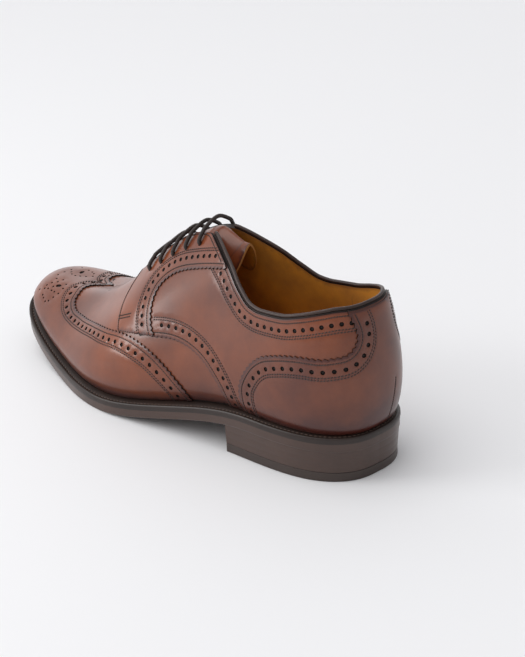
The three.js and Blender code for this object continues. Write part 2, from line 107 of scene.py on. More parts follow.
# Half sections of the last, from the heel's centre to the toe's: along, lateral, medial, girth out,
# girth up, shoulder in, shoulder up, crown in, crown up, ridge along, ridge up, crest out.
SECTIONS = (
    (0.000, 0.000, 0.000, 0.062, 0.300, 0.00, 0.580, 0.13, 0.880, 0.170, 1.240, 0.10),
    (0.006, 0.152, 0.178, 0.062, 0.300, 0.00, 0.580, 0.13, 0.880, 0.170, 1.240, 0.10),
    (0.058, 0.290, 0.312, 0.062, 0.300, 0.00, 0.580, 0.14, 0.880, 0.180, 1.240, 0.10),
    (0.150, 0.338, 0.330, 0.050, 0.280, 0.02, 0.540, 0.16, 0.860, 0.210, 1.240, 0.09),
    (0.252, 0.342, 0.280, 0.045, 0.260, 0.06, 0.510, 0.22, 0.830, 0.270, 1.220, 0.07),
    (0.356, 0.358, 0.208, 0.045, 0.250, 0.11, 0.510, 0.33, 0.810, 0.360, 1.170, 0.06),
    (0.460, 0.418, 0.208, 0.045, 0.220, 0.15, 0.490, 0.44, 0.790, 0.455, 1.060, 0.07),
    (0.563, 0.497, 0.300, 0.050, 0.180, 0.13, 0.420, 0.48, 0.680, 0.545, 0.875, 0.09),
    (0.660, 0.488, 0.419, 0.048, 0.140, 0.12, 0.335, 0.49, 0.500, 0.625, 0.655, 0.11),
    (0.750, 0.405, 0.462, 0.042, 0.120, 0.11, 0.270, 0.48, 0.370, 0.700, 0.475, 0.15),
    (0.840, 0.330, 0.414, 0.034, 0.105, 0.09, 0.225, 0.43, 0.290, 0.760, 0.400, 0.17),
    (0.916, 0.256, 0.325, 0.028, 0.095, 0.06, 0.180, 0.36, 0.235, 0.800, 0.365, 0.18),
    (0.972, 0.168, 0.206, 0.024, 0.090, 0.04, 0.150, 0.30, 0.190, 0.825, 0.355, 0.18),
    (0.994, -0.034, 0.034, 0.022, 0.090, 0.04, 0.140, 0.28, 0.175, 0.835, 0.350, 0.18),
)
TOE = len(SECTIONS) - 1
TURN = 2 * TOE
NUDGE = 0.004
LEVEL_UP_TO = 0.08


@dataclass(frozen=True)
class LastSizes:
    """Sizes of the last and of what lies under it."""

    length: float = 289.0
    ball_width: float = 100.0
    instep_height: float = 100.0
    toe_spring: float = 21.0
    roll_out: float = 4.0
    roll_up: float = 7.0
    heel_lift: float = 18.9
    feather_lift: float = 9.0
    tread_from: float = 0.62
    tread_to: float = 0.70
    seat_to: float = 0.20
    spring_power: float = 1.9
    ridge_shift: float = 0.045
    ridge_shift_from: float = 0.6
    ridge_shift_over: float = 0.2


@dataclass(frozen=True)
class Crease:
    """Soft trough or ridge between two points of the shoe; depth is inwards."""

    start: tuple[float, float, float]
    end: tuple[float, float, float]
    width: float
    depth: float


class Last:
    """Foot shape that every leather piece is drawn over.

    A place on it is (around, up): around is 0 at the heel and 13 at the toe, lateral side first, and
    up is 0 at the sole's edge and 1 on the ridge. Past 1 it goes down the other side.
    """

    def __init__(self, sizes: LastSizes = LastSizes(), creases: tuple[Crease, ...] = ()) -> None:
        """Build the net of control points."""
        self.sizes = sizes
        self.creases = creases
        self.shift = np.zeros(3)
        rows = [self._half(row, -1) for row in SECTIONS]
        rows += [self._half(row, 1) for row in SECTIONS[-2:0:-1]]
        self.net = np.array(rows)
        inner = self.net.shape[1] - 3
        self.knots = np.r_[np.zeros(3), np.linspace(0, 1, inner + 1), np.ones(3)]

    def sole_height(self, y: Array) -> Array:
        """Return the height of the sole's lower edge at each y."""
        s = self.sizes
        t = np.asarray(y, float) / s.length
        spring = np.maximum(0, (t - s.tread_to) / (1 - s.tread_to)) ** s.spring_power
        lift = smooth((s.tread_from - t) / (s.tread_from - s.seat_to))
        return s.toe_spring * spring + s.heel_lift * lift

    def feather(self, y: Array) -> Array:
        """Return the height of the upper's lowest edge at each y."""
        return self.sole_height(y) + self.sizes.feather_lift

    def _half(self, row: tuple[float, ...], side: int) -> list[list[float]]:
        """Return the control points of one half section."""
        s = self.sizes
        (along, lateral, medial, girth_out, girth_up, shoulder_in, shoulder_up,
         crown_in, crown_up, ridge_along, ridge_up, crest_out) = row
        x = medial if lateral < 0 else (-lateral if side < 0 else medial)
        foot = np.array([x * s.ball_width, along * s.length])
        shift = min(max((along - s.ridge_shift_from) / s.ridge_shift_over, 0), 1)
        ridge = np.array([s.ridge_shift * s.ball_width * shift, ridge_along * s.length])
        reach = float(np.linalg.norm(foot - ridge))
        out = (foot - ridge) / reach
        base = float(self.feather(foot[1]))
        top = s.feather_lift + ridge_up * s.instep_height
        profile = (
            (reach, base),
            (reach + s.roll_out, base + s.roll_up),
            (reach + girth_out * s.ball_width, base + girth_up * s.instep_height),
            (reach * (1 - shoulder_in), base + shoulder_up * s.instep_height),
            (reach * (1 - crown_in), base + crown_up * s.instep_height),
            (crest_out * s.ball_width, top),
            (0.0, top),
        )
        return [[*(ridge + out * distance), height] for distance, height in profile]

    def _across(self, up: Array) -> Array:
        """Return the weights of a clamped cubic curve over a half section."""
        v = np.clip(up, 0, 1 - 1e-9)[:, None]
        k = self.knots
        weights = ((v >= k[:-1]) & (v < k[1:])).astype(float)
        for degree in range(1, 4):
            low, high = k[:-degree - 1], k[degree + 1:]
            before = k[degree:-1] - low
            after = high - k[1:-degree]
            left = np.where(before > 0, (v - low) / np.where(before > 0, before, 1), 0)
            right = np.where(after > 0, (high - v) / np.where(after > 0, after, 1), 0)
            weights = left * weights[:, :-1] + right * weights[:, 1:]
        return weights

    @staticmethod
    def fold(places: Array) -> Array:
        """Return places with those past the ridge named from their own side."""
        over = places[:, 1] > 1
        around = np.where(over, TURN - places[:, 0], places[:, 0]) % TURN
        return np.c_[around, np.abs(np.where(over, 2 - places[:, 1], places[:, 1]))]

    def base(self, places: Array) -> Array:
        """Return points of the bare last, in its own millimetres."""
        around, up = self.fold(places).T
        column = np.floor(around).astype(int)
        t = around - column
        s = 1 - t
        ring = np.stack([s**3, 3 * t**3 - 6 * t**2 + 4, -3 * t**3 + 3 * t**2 + 3 * t + 1, t**3]) / 6
        across = self._across(up)
        points = np.zeros((len(places), 3))
        for k in range(4):
            section = self.net[(column + k - 1) % TURN]
            points += ring[k][:, None] * np.einsum("nv,nvd->nd", across, section)
        return points

    def slopes(self, places: Array) -> tuple[Array, Array]:
        """Return the change of a point with around and with up."""
        step = np.array([NUDGE, 0.0])
        along = (self.base(places + step) - self.base(places - step)) / (2 * NUDGE)
        low = places.copy()
        low[:, 1] = np.maximum(0, low[:, 1] - NUDGE)
        high = places.copy()
        high[:, 1] += NUDGE
        span = (high[:, 1] - low[:, 1])[:, None]
        return along, (self.base(high) - self.base(low)) / span

    def outward(self, places: Array) -> Array:
        """Return the outward direction, level at the sole's edge."""
        along, rise = self.slopes(places)
        direction = unit(np.cross(rise, along))
        up = np.where(places[:, 1] > 1, 2 - places[:, 1], places[:, 1])
        direction[:, 2] *= smooth(up / LEVEL_UP_TO)
        return unit(direction)

    def place(self, places: Array, out: float | Array) -> Array:
        """Lay places over the last.

        Args:
            places: Rows of (around, up).
            out: Millimetres outside the last.

        Returns:
            Points in metres, in the part's frame.
        """
        places = self.fold(places)
        base = self.base(places)
        edge = self.base(np.c_[places[:, 0], np.zeros(len(places))])
        distance = np.broadcast_to(np.asarray(out, float), len(places)) - self._sink(base)
        points = base + self.outward(places) * distance[:, None]
        drift = self.feather(edge[:, 1]) - edge[:, 2]
        drift += self.feather(points[:, 1]) - self.feather(base[:, 1])
        points[:, 2] += drift * (1 - smooth(places[:, 1] / LEVEL_UP_TO))
        return (points + self.shift) * MM

    def _sink(self, base: Array) -> Array:
        """Return how deep the creases lie at points of the last."""
        depth = np.zeros(len(base))
        for crease in self.creases:
            a, b = np.array(crease.start), np.array(crease.end)
            share = np.clip(((base - a) @ (b - a)) / ((b - a) @ (b - a)), 0, 1)
            away = np.linalg.norm(base - (a + share[:, None] * (b - a)), axis=1)
            fade = 0.35 + 0.65 * np.sin(np.pi * share)
            depth += crease.depth * fade * np.exp(-((away / crease.width) ** 2))
        return depth

    def rim(self, around: Array, out: float | Array, lift: Array | float) -> Array:
        """Return points outside the sole's edge, lift above its lower height, in metres."""
        foot = self.base(np.c_[around, np.zeros(len(around))])
        ahead = self.base(np.c_[around + NUDGE, np.zeros(len(around))])
        normal = unit(np.c_[foot[:, 1] - ahead[:, 1], ahead[:, 0] - foot[:, 0]])
        flat = foot[:, :2] + normal * np.broadcast_to(np.asarray(out, float), len(around))[:, None]
        height = self.sole_height(flat[:, 1]) + lift
        return (np.c_[flat, height] + self.shift) * MM


class Chart:
    """Flat map of the last, near true size, on which pieces are cut out."""

    def __init__(self, last: Last) -> None:
        """Measure the ridge, the directions away from it and the girths."""
        self.at = np.linspace(0, TURN, 521)
        foot = last.base(np.c_[self.at, np.zeros(521)])[:, :2]
        ridge = last.base(np.c_[self.at, np.ones(521)])[:, :2]
        rows = [last.base(np.c_[self.at, np.full(521, up)]) for up in np.linspace(0, 1, 17)]
        girth = sum(np.linalg.norm(b - a, axis=1) for a, b in zip(rows, rows[1:]))
        self.columns = np.c_[ridge, unit(foot - ridge), girth]

    def flat(self, places: Array) -> Array:
        """Return places on the flat map."""
        around, up = Last.fold(places).T
        x, y, dx, dy, girth = (np.interp(around, self.at, column) for column in self.columns.T)
        length = np.hypot(dx, dy)
        reach = girth * (1 - up) / length
        return np.c_[x + dx * reach, y + dy * reach]


@dataclass
class Cut:
    """Piece cut out on the chart: its places, faces, edge and groove depths, and its edge vertices darkened as edge
    ink and painted shade.
    """

    places: Array
    faces: Array
    rim: Array
    groove: Array
    bare: Array
    ink_and_shade: Array


class Drawing:
    """Draws lines, holes and pieces on the last."""

    def __init__(self, last: Last) -> None:
        """Keep the last and its chart."""
        self.last = last
        self.chart = Chart(last)

    def length(self, line: Array) -> Array:
        """Return the length along a line at each of its places, in millimetres."""
        points = self.last.base(line)
        return np.r_[0, np.cumsum(np.linalg.norm(np.diff(points, axis=0), axis=1))]

    def even(self, line: Array, step: float, closed: bool = False) -> Array:
        """Return a line with even steps."""
        if closed:
            line = np.vstack([line, line[:1]])
        at = self.length(line)
        count = max(2, int(round(at[-1] / step)))
        want = np.linspace(0, at[-1], count + 1)
        if closed:
            want = want[:-1]
        return np.c_[np.interp(want, at, line[:, 0]), np.interp(want, at, line[:, 1])]

    def line(self, knots: Knots, step: float = 1.2, side: Side = Side.LATERAL) -> Array:
        """Return a smooth line through knots of (station, up)."""
        places = np.array(knots, float)
        if side is Side.MEDIAL:
            places[:, 0] = TURN - places[:, 0]
        at = self.length(places)
        tangent = np.gradient(places, at, axis=0)
        dense = []
        for i in range(len(places) - 1):
            width = at[i + 1] - at[i]
            t = np.linspace(0, 1, 13)[:-1, None]
            t2, t3 = t * t, t * t * t
            dense.append(
                (2 * t3 - 3 * t2 + 1) * places[i] + (t3 - 2 * t2 + t) * width * tangent[i]
                + (3 * t2 - 2 * t3) * places[i + 1] + (t3 - t2) * width * tangent[i + 1]
            )
        dense.append(places[-1:])
        return self.even(np.vstack(dense), step)

    def frame(self, line: Array) -> tuple[Array, Array, Array]:
        """Return tangents, normals and leftward directions along a line."""
        tangent = unit(np.gradient(self.last.base(line), axis=0))
        normal = self.last.outward(line)
        return tangent, normal, unit(np.cross(normal, tangent))

    def shift(self, line: Array, steps: Array) -> Array:
        """Move places by steps given as vectors in millimetres."""
        along, rise = self.last.slopes(line)
        aa, ar, rr = (np.sum(a * b, axis=1) for a, b in ((along, along), (along, rise), (rise, rise)))
        sa, sr = np.sum(along * steps, axis=1), np.sum(rise * steps, axis=1)
        det = aa * rr - ar * ar
        moved = line + np.c_[(rr * sa - ar * sr) / det, (aa * sr - ar * sa) / det]
        moved[:, 1] = np.maximum(moved[:, 1], 0)
        return moved

    def beside(self, line: Array, distance: float, step: float = 1.0) -> Array:
        """Return a line beside another, to its left where distance is positive."""
        moved = line
        for part in (0.5, 0.5):
            _, _, left = self.frame(moved)
            moved = self.shift(moved, left * distance * part)
        source, points = self.last.base(line), self.last.base(moved)
        gap = np.sqrt(((points[:, None] - source[None]) ** 2).sum(-1).min(1))
        kept = moved[gap > abs(distance) * 0.93]
        return self.even(kept, step) if len(kept) > 2 else moved

    def pinked(self, line: Array, pitch: float, depth: float) -> Array:
        """Return a line with teeth to its right, three points to a tooth."""
        teeth = self.even(line, pitch / 3)
        _, _, left = self.frame(teeth)
        share = np.array([0.0, -1.0, -0.55])[np.arange(len(teeth)) % 3]
        share[0] = share[-1] = 0
        return self.shift(teeth, left * (share * depth)[:, None])

    def ring(self, centre: Array, radius: float, long: float = 1.0, turn: float = 0.0,
             count: int = 12) -> Array:
        """Return a round or oval outline about a place."""
        places = np.repeat(centre[None], count, axis=0)
        tangent, _, left = self.frame(np.vstack([centre, centre + [0.01, 0]]))
        angle = np.arange(count) * 2 * np.pi / count
        x, y = np.cos(angle) * radius * long, np.sin(angle) * radius
        c, s = math.cos(turn), math.sin(turn)
        steps = np.outer(x * c - y * s, tangent[0]) + np.outer(x * s + y * c, left[0])
        return self.shift(places, steps)

    def cut(self, outlines: list[Array], holes: list[Array], seams: list[Array], spacing: float,
            seam_depth: float = 0.16) -> Cut:
        """Cut a piece out of the chart.

        Args:
            outlines: Closed outlines; inside is where an odd number of them lies around.
            holes: Closed outlines of punched holes.
            seams: Lines of stitching, each a groove.
            spacing: Size of the faces in millimetres.
            seam_depth: Depth of the groove under the thread.

        Returns:
            The piece's places and faces.
        """
        fixed, edges = [], []
        start = 0
        for loop in [*outlines, *holes]:
            count = len(loop)
            fixed.append(loop)
            edges += [(start + i, start + (i + 1) % count) for i in range(count)]
            start += count
        rim_count = sum(len(loop) for loop in outlines)
        fixed = np.vstack(fixed)
        flat_fixed = self.chart.flat(fixed)
        loops = [self.chart.flat(loop) for loop in outlines]
        hole_of = np.full(len(fixed), -1)
        start = rim_count
        for number, loop in enumerate(holes):
            hole_of[start:start + len(loop)] = number
            start += len(loop)
        soft, depth = [], []
        for seam in seams:
            for offset, sunk in ((0.0, 1.0), (0.75, 0.0), (-0.75, 0.0)):
                places = seam if offset == 0 else self.beside(seam, offset, 1.3)
                soft.append(places)
                depth.append(np.full(len(places), sunk))
        grid = self._grid(loops, spacing)
        soft.append(grid)
        depth.append(np.full(len(grid), -1.0))
        soft, depth = np.vstack(soft), np.concatenate(depth)
        flat_soft = self.chart.flat(soft)
        room = np.where(depth < 0, 0.55 * spacing, 0.45)
        keep = inside(flat_soft, loops) & (nearest(flat_soft, flat_fixed) > room)
        soft, depth, flat_soft = soft[keep], depth[keep], flat_soft[keep]
        keep = thin(flat_soft, np.where(depth < 0, 0.62 * spacing, 0.5))
        soft, depth, flat_soft = soft[keep], depth[keep], flat_soft[keep]
        places = np.vstack([fixed, soft])
        flat = np.vstack([flat_fixed, flat_soft])
        groove = np.r_[np.zeros(len(fixed)), np.maximum(depth, 0)]
        result = delaunay_2d_cdt([Vector(p) for p in flat], edges, [], 0, 1e-5, True)
        source = np.array([ids[0] if ids else -1 for ids in result[3]])
        new_flat = np.array([tuple(v) for v in result[0]])
        lost = np.flatnonzero(source < 0)
        for i in lost:
            source[i] = int(np.argmin(((flat - new_flat[i]) ** 2).sum(1)))
        faces = np.array([f for f in result[2] if len(f) == 3], int)
        centre = new_flat[faces].mean(1)
        ids = np.r_[hole_of, np.full(len(soft), -1)][source[faces]]
        in_hole = (ids[:, 0] >= 0) & (ids[:, 0] == ids[:, 1]) & (ids[:, 1] == ids[:, 2])
        faces = faces[inside(centre, loops) & ~in_hole]
        faces = source[faces]
        faces = faces[(faces != np.roll(faces, 1, axis=1)).all(1)]
        used, compact = np.unique(faces, return_inverse=True)
        faces = compact.reshape(-1, 3)
        sides = np.vstack([faces[:, [0, 1]], faces[:, [1, 2]], faces[:, [2, 0]]])
        key = sides[:, 0] * len(used) + sides[:, 1]
        back = sides[:, 1] * len(used) + sides[:, 0]
        rim = sides[~np.isin(key, back)]
        bare = np.zeros(len(used))
        bare[np.unique(rim)] = 1
        # Outer edge vertices above the sole: dark edge ink and painted shade under the raised edge.
        ink_and_shade = bare * (used < rim_count) * (places[used, 1] > 0.01)
        return Cut(places[used], faces, rim, groove[used] * seam_depth, bare, ink_and_shade)

    def _grid(self, loops: list[Array], spacing: float) -> Array:
        """Return evenly spread places near the outlines' box."""
        low = np.min([loop.min(0) for loop in loops], axis=0) - spacing
        high = np.max([loop.max(0) for loop in loops], axis=0) + spacing
        columns = int(760 / spacing)
        rows = int(165 / spacing)
        around, up = np.meshgrid(np.arange(columns) * TURN / columns, np.linspace(0, 1, rows), indexing="ij")
        around[:, 1::2] += 0.5 * TURN / columns
        places = np.c_[around.ravel(), up.ravel()]
        flat = self.chart.flat(places)
        return places[((flat > low) & (flat < high)).all(1)]


def inside(points: Array, loops: list[Array]) -> Array:
    """Return which flat points lie inside an odd number of loops."""
    odd = np.zeros(len(points), bool)
    for loop in loops:
        x0, y0 = loop[:, 0], loop[:, 1]
        x1, y1 = np.roll(x0, -1), np.roll(y0, -1)
        rise = np.where(y1 == y0, 1e-12, y1 - y0)
        for start in range(0, len(points), 2000):
            px, py = points[start:start + 2000, 0:1], points[start:start + 2000, 1:2]
            crosses = ((y0 > py) != (y1 > py)) & (px < (x1 - x0) * (py - y0) / rise + x0)
            odd[start:start + 2000] ^= (crosses.sum(1) % 2).astype(bool)
    return odd


def nearest(points: Array, others: Array) -> Array:
    """Return each flat point's distance from the nearest of the others."""
    result = np.empty(len(points))
    for start in range(0, len(points), 1000):
        part = points[start:start + 1000]
        gap = ((part[:, None] - others[None]) ** 2).sum(-1)
        result[start:start + 1000] = np.sqrt(gap.min(1))
    return result


def thin(points: Array, room: Array) -> Array:
    """Return which flat points stay when each keeps its room from the ones before it."""
    cell = float(room.min())
    taken: dict[tuple[int, int], list[int]] = {}
    keep = np.zeros(len(points), bool)
    xs, ys, rooms = points[:, 0].tolist(), points[:, 1].tolist(), room.tolist()
    for i in range(len(points)):
        reach = int(math.ceil(rooms[i] / cell))
        cx, cy = int(xs[i] // cell), int(ys[i] // cell)
        free = True
        for gx in range(cx - reach, cx + reach + 1):
            for gy in range(cy - reach, cy + reach + 1):
                for j in taken.get((gx, gy), ()):
                    if (xs[i] - xs[j]) ** 2 + (ys[i] - ys[j]) ** 2 < rooms[i] ** 2:
                        free = False
                        break
                if not free:
                    break
            if not free:
                break
        if free:
            keep[i] = True
            taken.setdefault((cx, cy), []).append(i)
    return keep


@dataclass(frozen=True)
class Finish:
    """Look of one material."""

    name: str
    colour: tuple[float, float, float]
    deep: tuple[float, float, float]
    roughness: float
    coat: float = 0.0
    grain: float = 0.0
    grain_size: float = 0.8
    mottle_size: float = 22.0
    weave: float = 0.0
    weave_size: float = 0.9


CALF = Finish(
    "calf", (0.230, 0.056, 0.016), (0.066, 0.014, 0.009), 0.33, coat=0.25, grain=0.07, mottle_size=48.0)
CALF_EDGE = Finish("calf_edge", (0.030, 0.012, 0.008), (0.012, 0.006, 0.004), 0.55, grain=0.2)
# Near-black discs in the punched holes: painted shade over the leather under each hole.
HOLE_SHADE = Finish("painted_shade_disc", (0.010, 0.005, 0.004), (0.006, 0.003, 0.002), 0.8, grain=0.1)
THREAD = Finish("thread", (0.048, 0.028, 0.023), (0.024, 0.014, 0.011), 0.6, weave=0.3, weave_size=0.35)
LINING = Finish("lining", (0.640, 0.270, 0.030), (0.300, 0.120, 0.024), 0.6, grain=0.14)
TRIM = Finish("trim", (0.040, 0.018, 0.012), (0.020, 0.009, 0.006), 0.45, grain=0.12)
SOLE = Finish("sole_edge", (0.066, 0.034, 0.024), (0.048, 0.024, 0.017), 0.34, coat=0.2, grain=0.04)
WELT = Finish("welt", (0.026, 0.014, 0.010), (0.014, 0.008, 0.006), 0.42, grain=0.15)
WELT_THREAD = Finish(
    "welt_thread", (0.110, 0.070, 0.052), (0.060, 0.036, 0.026), 0.6, weave=0.3, weave_size=0.35)
RUBBER = Finish("rubber", (0.052, 0.034, 0.028), (0.036, 0.024, 0.019), 0.42, grain=0.08)
CORD = Finish("cord", (0.030, 0.018, 0.014), (0.015, 0.009, 0.007), 0.6, weave=0.6, weave_size=0.8)


def node(tree: bpy.types.NodeTree, kind: str, sockets: dict | None = None, **settings) -> bpy.types.Node:
    """Add a node to a tree.

    Args:
        tree: The tree.
        kind: Type of the node.
        sockets: Value or link of each input, by name or number.
        settings: Properties of the node.

    Returns:
        The node.
    """
    item = tree.nodes.new(kind)
    for name, value in settings.items():
        setattr(item, name, value)
    for key, value in (sockets or {}).items():
        if isinstance(value, bpy.types.NodeSocket):
            tree.links.new(value, item.inputs[key])
        else:
            item.inputs[key].default_value = value
    return item


class Paint:
    """Makes the materials and keeps them by name."""

    PER_METRE = 1000
    STRANDS_PER_METRE = 160
    BUMP_METRES = 0.0002
    WEAR = 0.18

    def __init__(self) -> None:
        """Build the two shared node groups."""
        self.made: dict[str, bpy.types.Material] = {}
        self.hide = self._hide_group()
        self.tone = self._tone_group()

    @staticmethod
    def _group(name: str, inputs: dict[str, float], outputs: tuple[tuple[str, str], ...]) -> tuple:
        """Start a node group with named sockets."""
        tree = bpy.data.node_groups.new(name, "ShaderNodeTree")
        for label, value in inputs.items():
            kind = "NodeSocketColor" if isinstance(value, tuple) else "NodeSocketFloat"
            socket = tree.interface.new_socket(label, in_out="INPUT", socket_type=kind)
            socket.default_value = (*value, 1) if isinstance(value, tuple) else value
        for label, kind in outputs:
            tree.interface.new_socket(label, in_out="OUTPUT", socket_type=kind)
        return tree, tree.nodes.new("NodeGroupInput"), tree.nodes.new("NodeGroupOutput")

    @staticmethod
    def _share(tree: bpy.types.NodeTree, value: float, size: bpy.types.NodeSocket) -> bpy.types.NodeSocket:
        """Divide a value by a size."""
        return node(tree, "ShaderNodeMath", {0: value, 1: size}, operation="DIVIDE").outputs[0]

    def _hide_group(self) -> bpy.types.NodeTree:
        """Return the fine grain of leather as a height."""
        tree, start, end = self._group(
            "hide_grain", {"Size": 0.8, "Weave": 0.0, "Weave Size": 0.9}, (("Height", "NodeSocketFloat"),))
        where = node(tree, "ShaderNodeTexCoord").outputs["Object"]
        per = self._share(tree, self.PER_METRE, start.outputs["Size"])
        cells = node(tree, "ShaderNodeTexVoronoi", {"Vector": where, "Scale": per},
                     feature="DISTANCE_TO_EDGE")
        fine = node(tree, "ShaderNodeTexNoise", {"Vector": where, "Scale": per, "Detail": 4})
        both = node(tree, "ShaderNodeMath", {0: cells.outputs["Distance"], 1: fine.outputs["Fac"]},
                    operation="ADD")
        rate = self._share(tree, self.STRANDS_PER_METRE, start.outputs["Weave Size"])
        strands = node(tree, "ShaderNodeTexWave", {"Vector": where, "Scale": rate},
                       bands_direction="DIAGONAL")
        mix = node(tree, "ShaderNodeMix",
                   {0: start.outputs["Weave"], 2: both.outputs[0], 3: strands.outputs["Fac"]})
        tree.links.new(mix.outputs[0], end.inputs["Height"])
        return tree

    def _tone_group(self) -> bpy.types.NodeTree:
        """Return mottled colour and roughness, deeper where burnish is high: painted shade low on the upper, in seam
        grooves and at edges, with polish at the toe.
        """
        tree, start, end = self._group(
            "patina",
            {"Colour": (0.2, 0.1, 0.1), "Deep": (0.1, 0.05, 0.05), "Size": 22.0, "Roughness": 0.4},
            (("Colour", "NodeSocketColor"), ("Roughness", "NodeSocketFloat")))
        where = node(tree, "ShaderNodeTexCoord").outputs["Object"]
        per = self._share(tree, self.PER_METRE, start.outputs["Size"])
        cloud = node(tree, "ShaderNodeTexNoise",
                     {"Vector": where, "Scale": per, "Detail": 5, "Roughness": 0.6})
        soft = node(tree, "ShaderNodeMapRange", {
            "From Min": 0.34, "From Max": 0.66, "To Max": 0.62, "Value": cloud.outputs["Fac"]})
        # The burnish attribute: painted shade low on the upper, in seam grooves and at edges, with polish at the toe.
        burnish = node(tree, "ShaderNodeAttribute", attribute_name="burnish")
        total = node(tree, "ShaderNodeMath", {0: soft.outputs[0], 1: burnish.outputs["Fac"]},
                     operation="ADD", use_clamp=True)
        mix = node(tree, "ShaderNodeMix",
                   {0: total.outputs[0], 6: start.outputs["Colour"], 7: start.outputs["Deep"]},
                   data_type="RGBA")
        worn = node(tree, "ShaderNodeMath",
                    {0: cloud.outputs["Fac"], 1: self.WEAR, 2: start.outputs["Roughness"]},
                    operation="MULTIPLY_ADD")
        tree.links.new(mix.outputs[2], end.inputs["Colour"])
        tree.links.new(worn.outputs[0], end.inputs["Roughness"])
        return tree

    def of(self, finish: Finish) -> bpy.types.Material:
        """Return the material of a finish."""
        if finish.name in self.made:
            return self.made[finish.name]
        material = bpy.data.materials.new(finish.name)
        material.use_nodes = True
        tree = material.node_tree
        base = tree.nodes["Principled BSDF"]
        tone = node(tree, "ShaderNodeGroup", {
            "Colour": (*finish.colour, 1), "Deep": (*finish.deep, 1), "Size": finish.mottle_size,
            "Roughness": finish.roughness - self.WEAR / 2}, node_tree=self.tone)
        hide = node(tree, "ShaderNodeGroup", {
            "Size": finish.grain_size, "Weave": 1.0 if finish.weave else 0.0,
            "Weave Size": finish.weave_size}, node_tree=self.hide)
        bump = node(tree, "ShaderNodeBump", {
            "Strength": max(finish.grain, finish.weave), "Distance": self.BUMP_METRES,
            "Height": hide.outputs["Height"]})
        base.inputs["Coat Weight"].default_value = finish.coat
        base.inputs["Coat Roughness"].default_value = 0.16
        base.inputs["Specular IOR Level"].default_value = 0.5
        tree.links.new(tone.outputs["Colour"], base.inputs["Base Color"])
        tree.links.new(tone.outputs["Roughness"], base.inputs["Roughness"])
        tree.links.new(bump.outputs["Normal"], base.inputs["Normal"])
        self.made[finish.name] = material
        return material


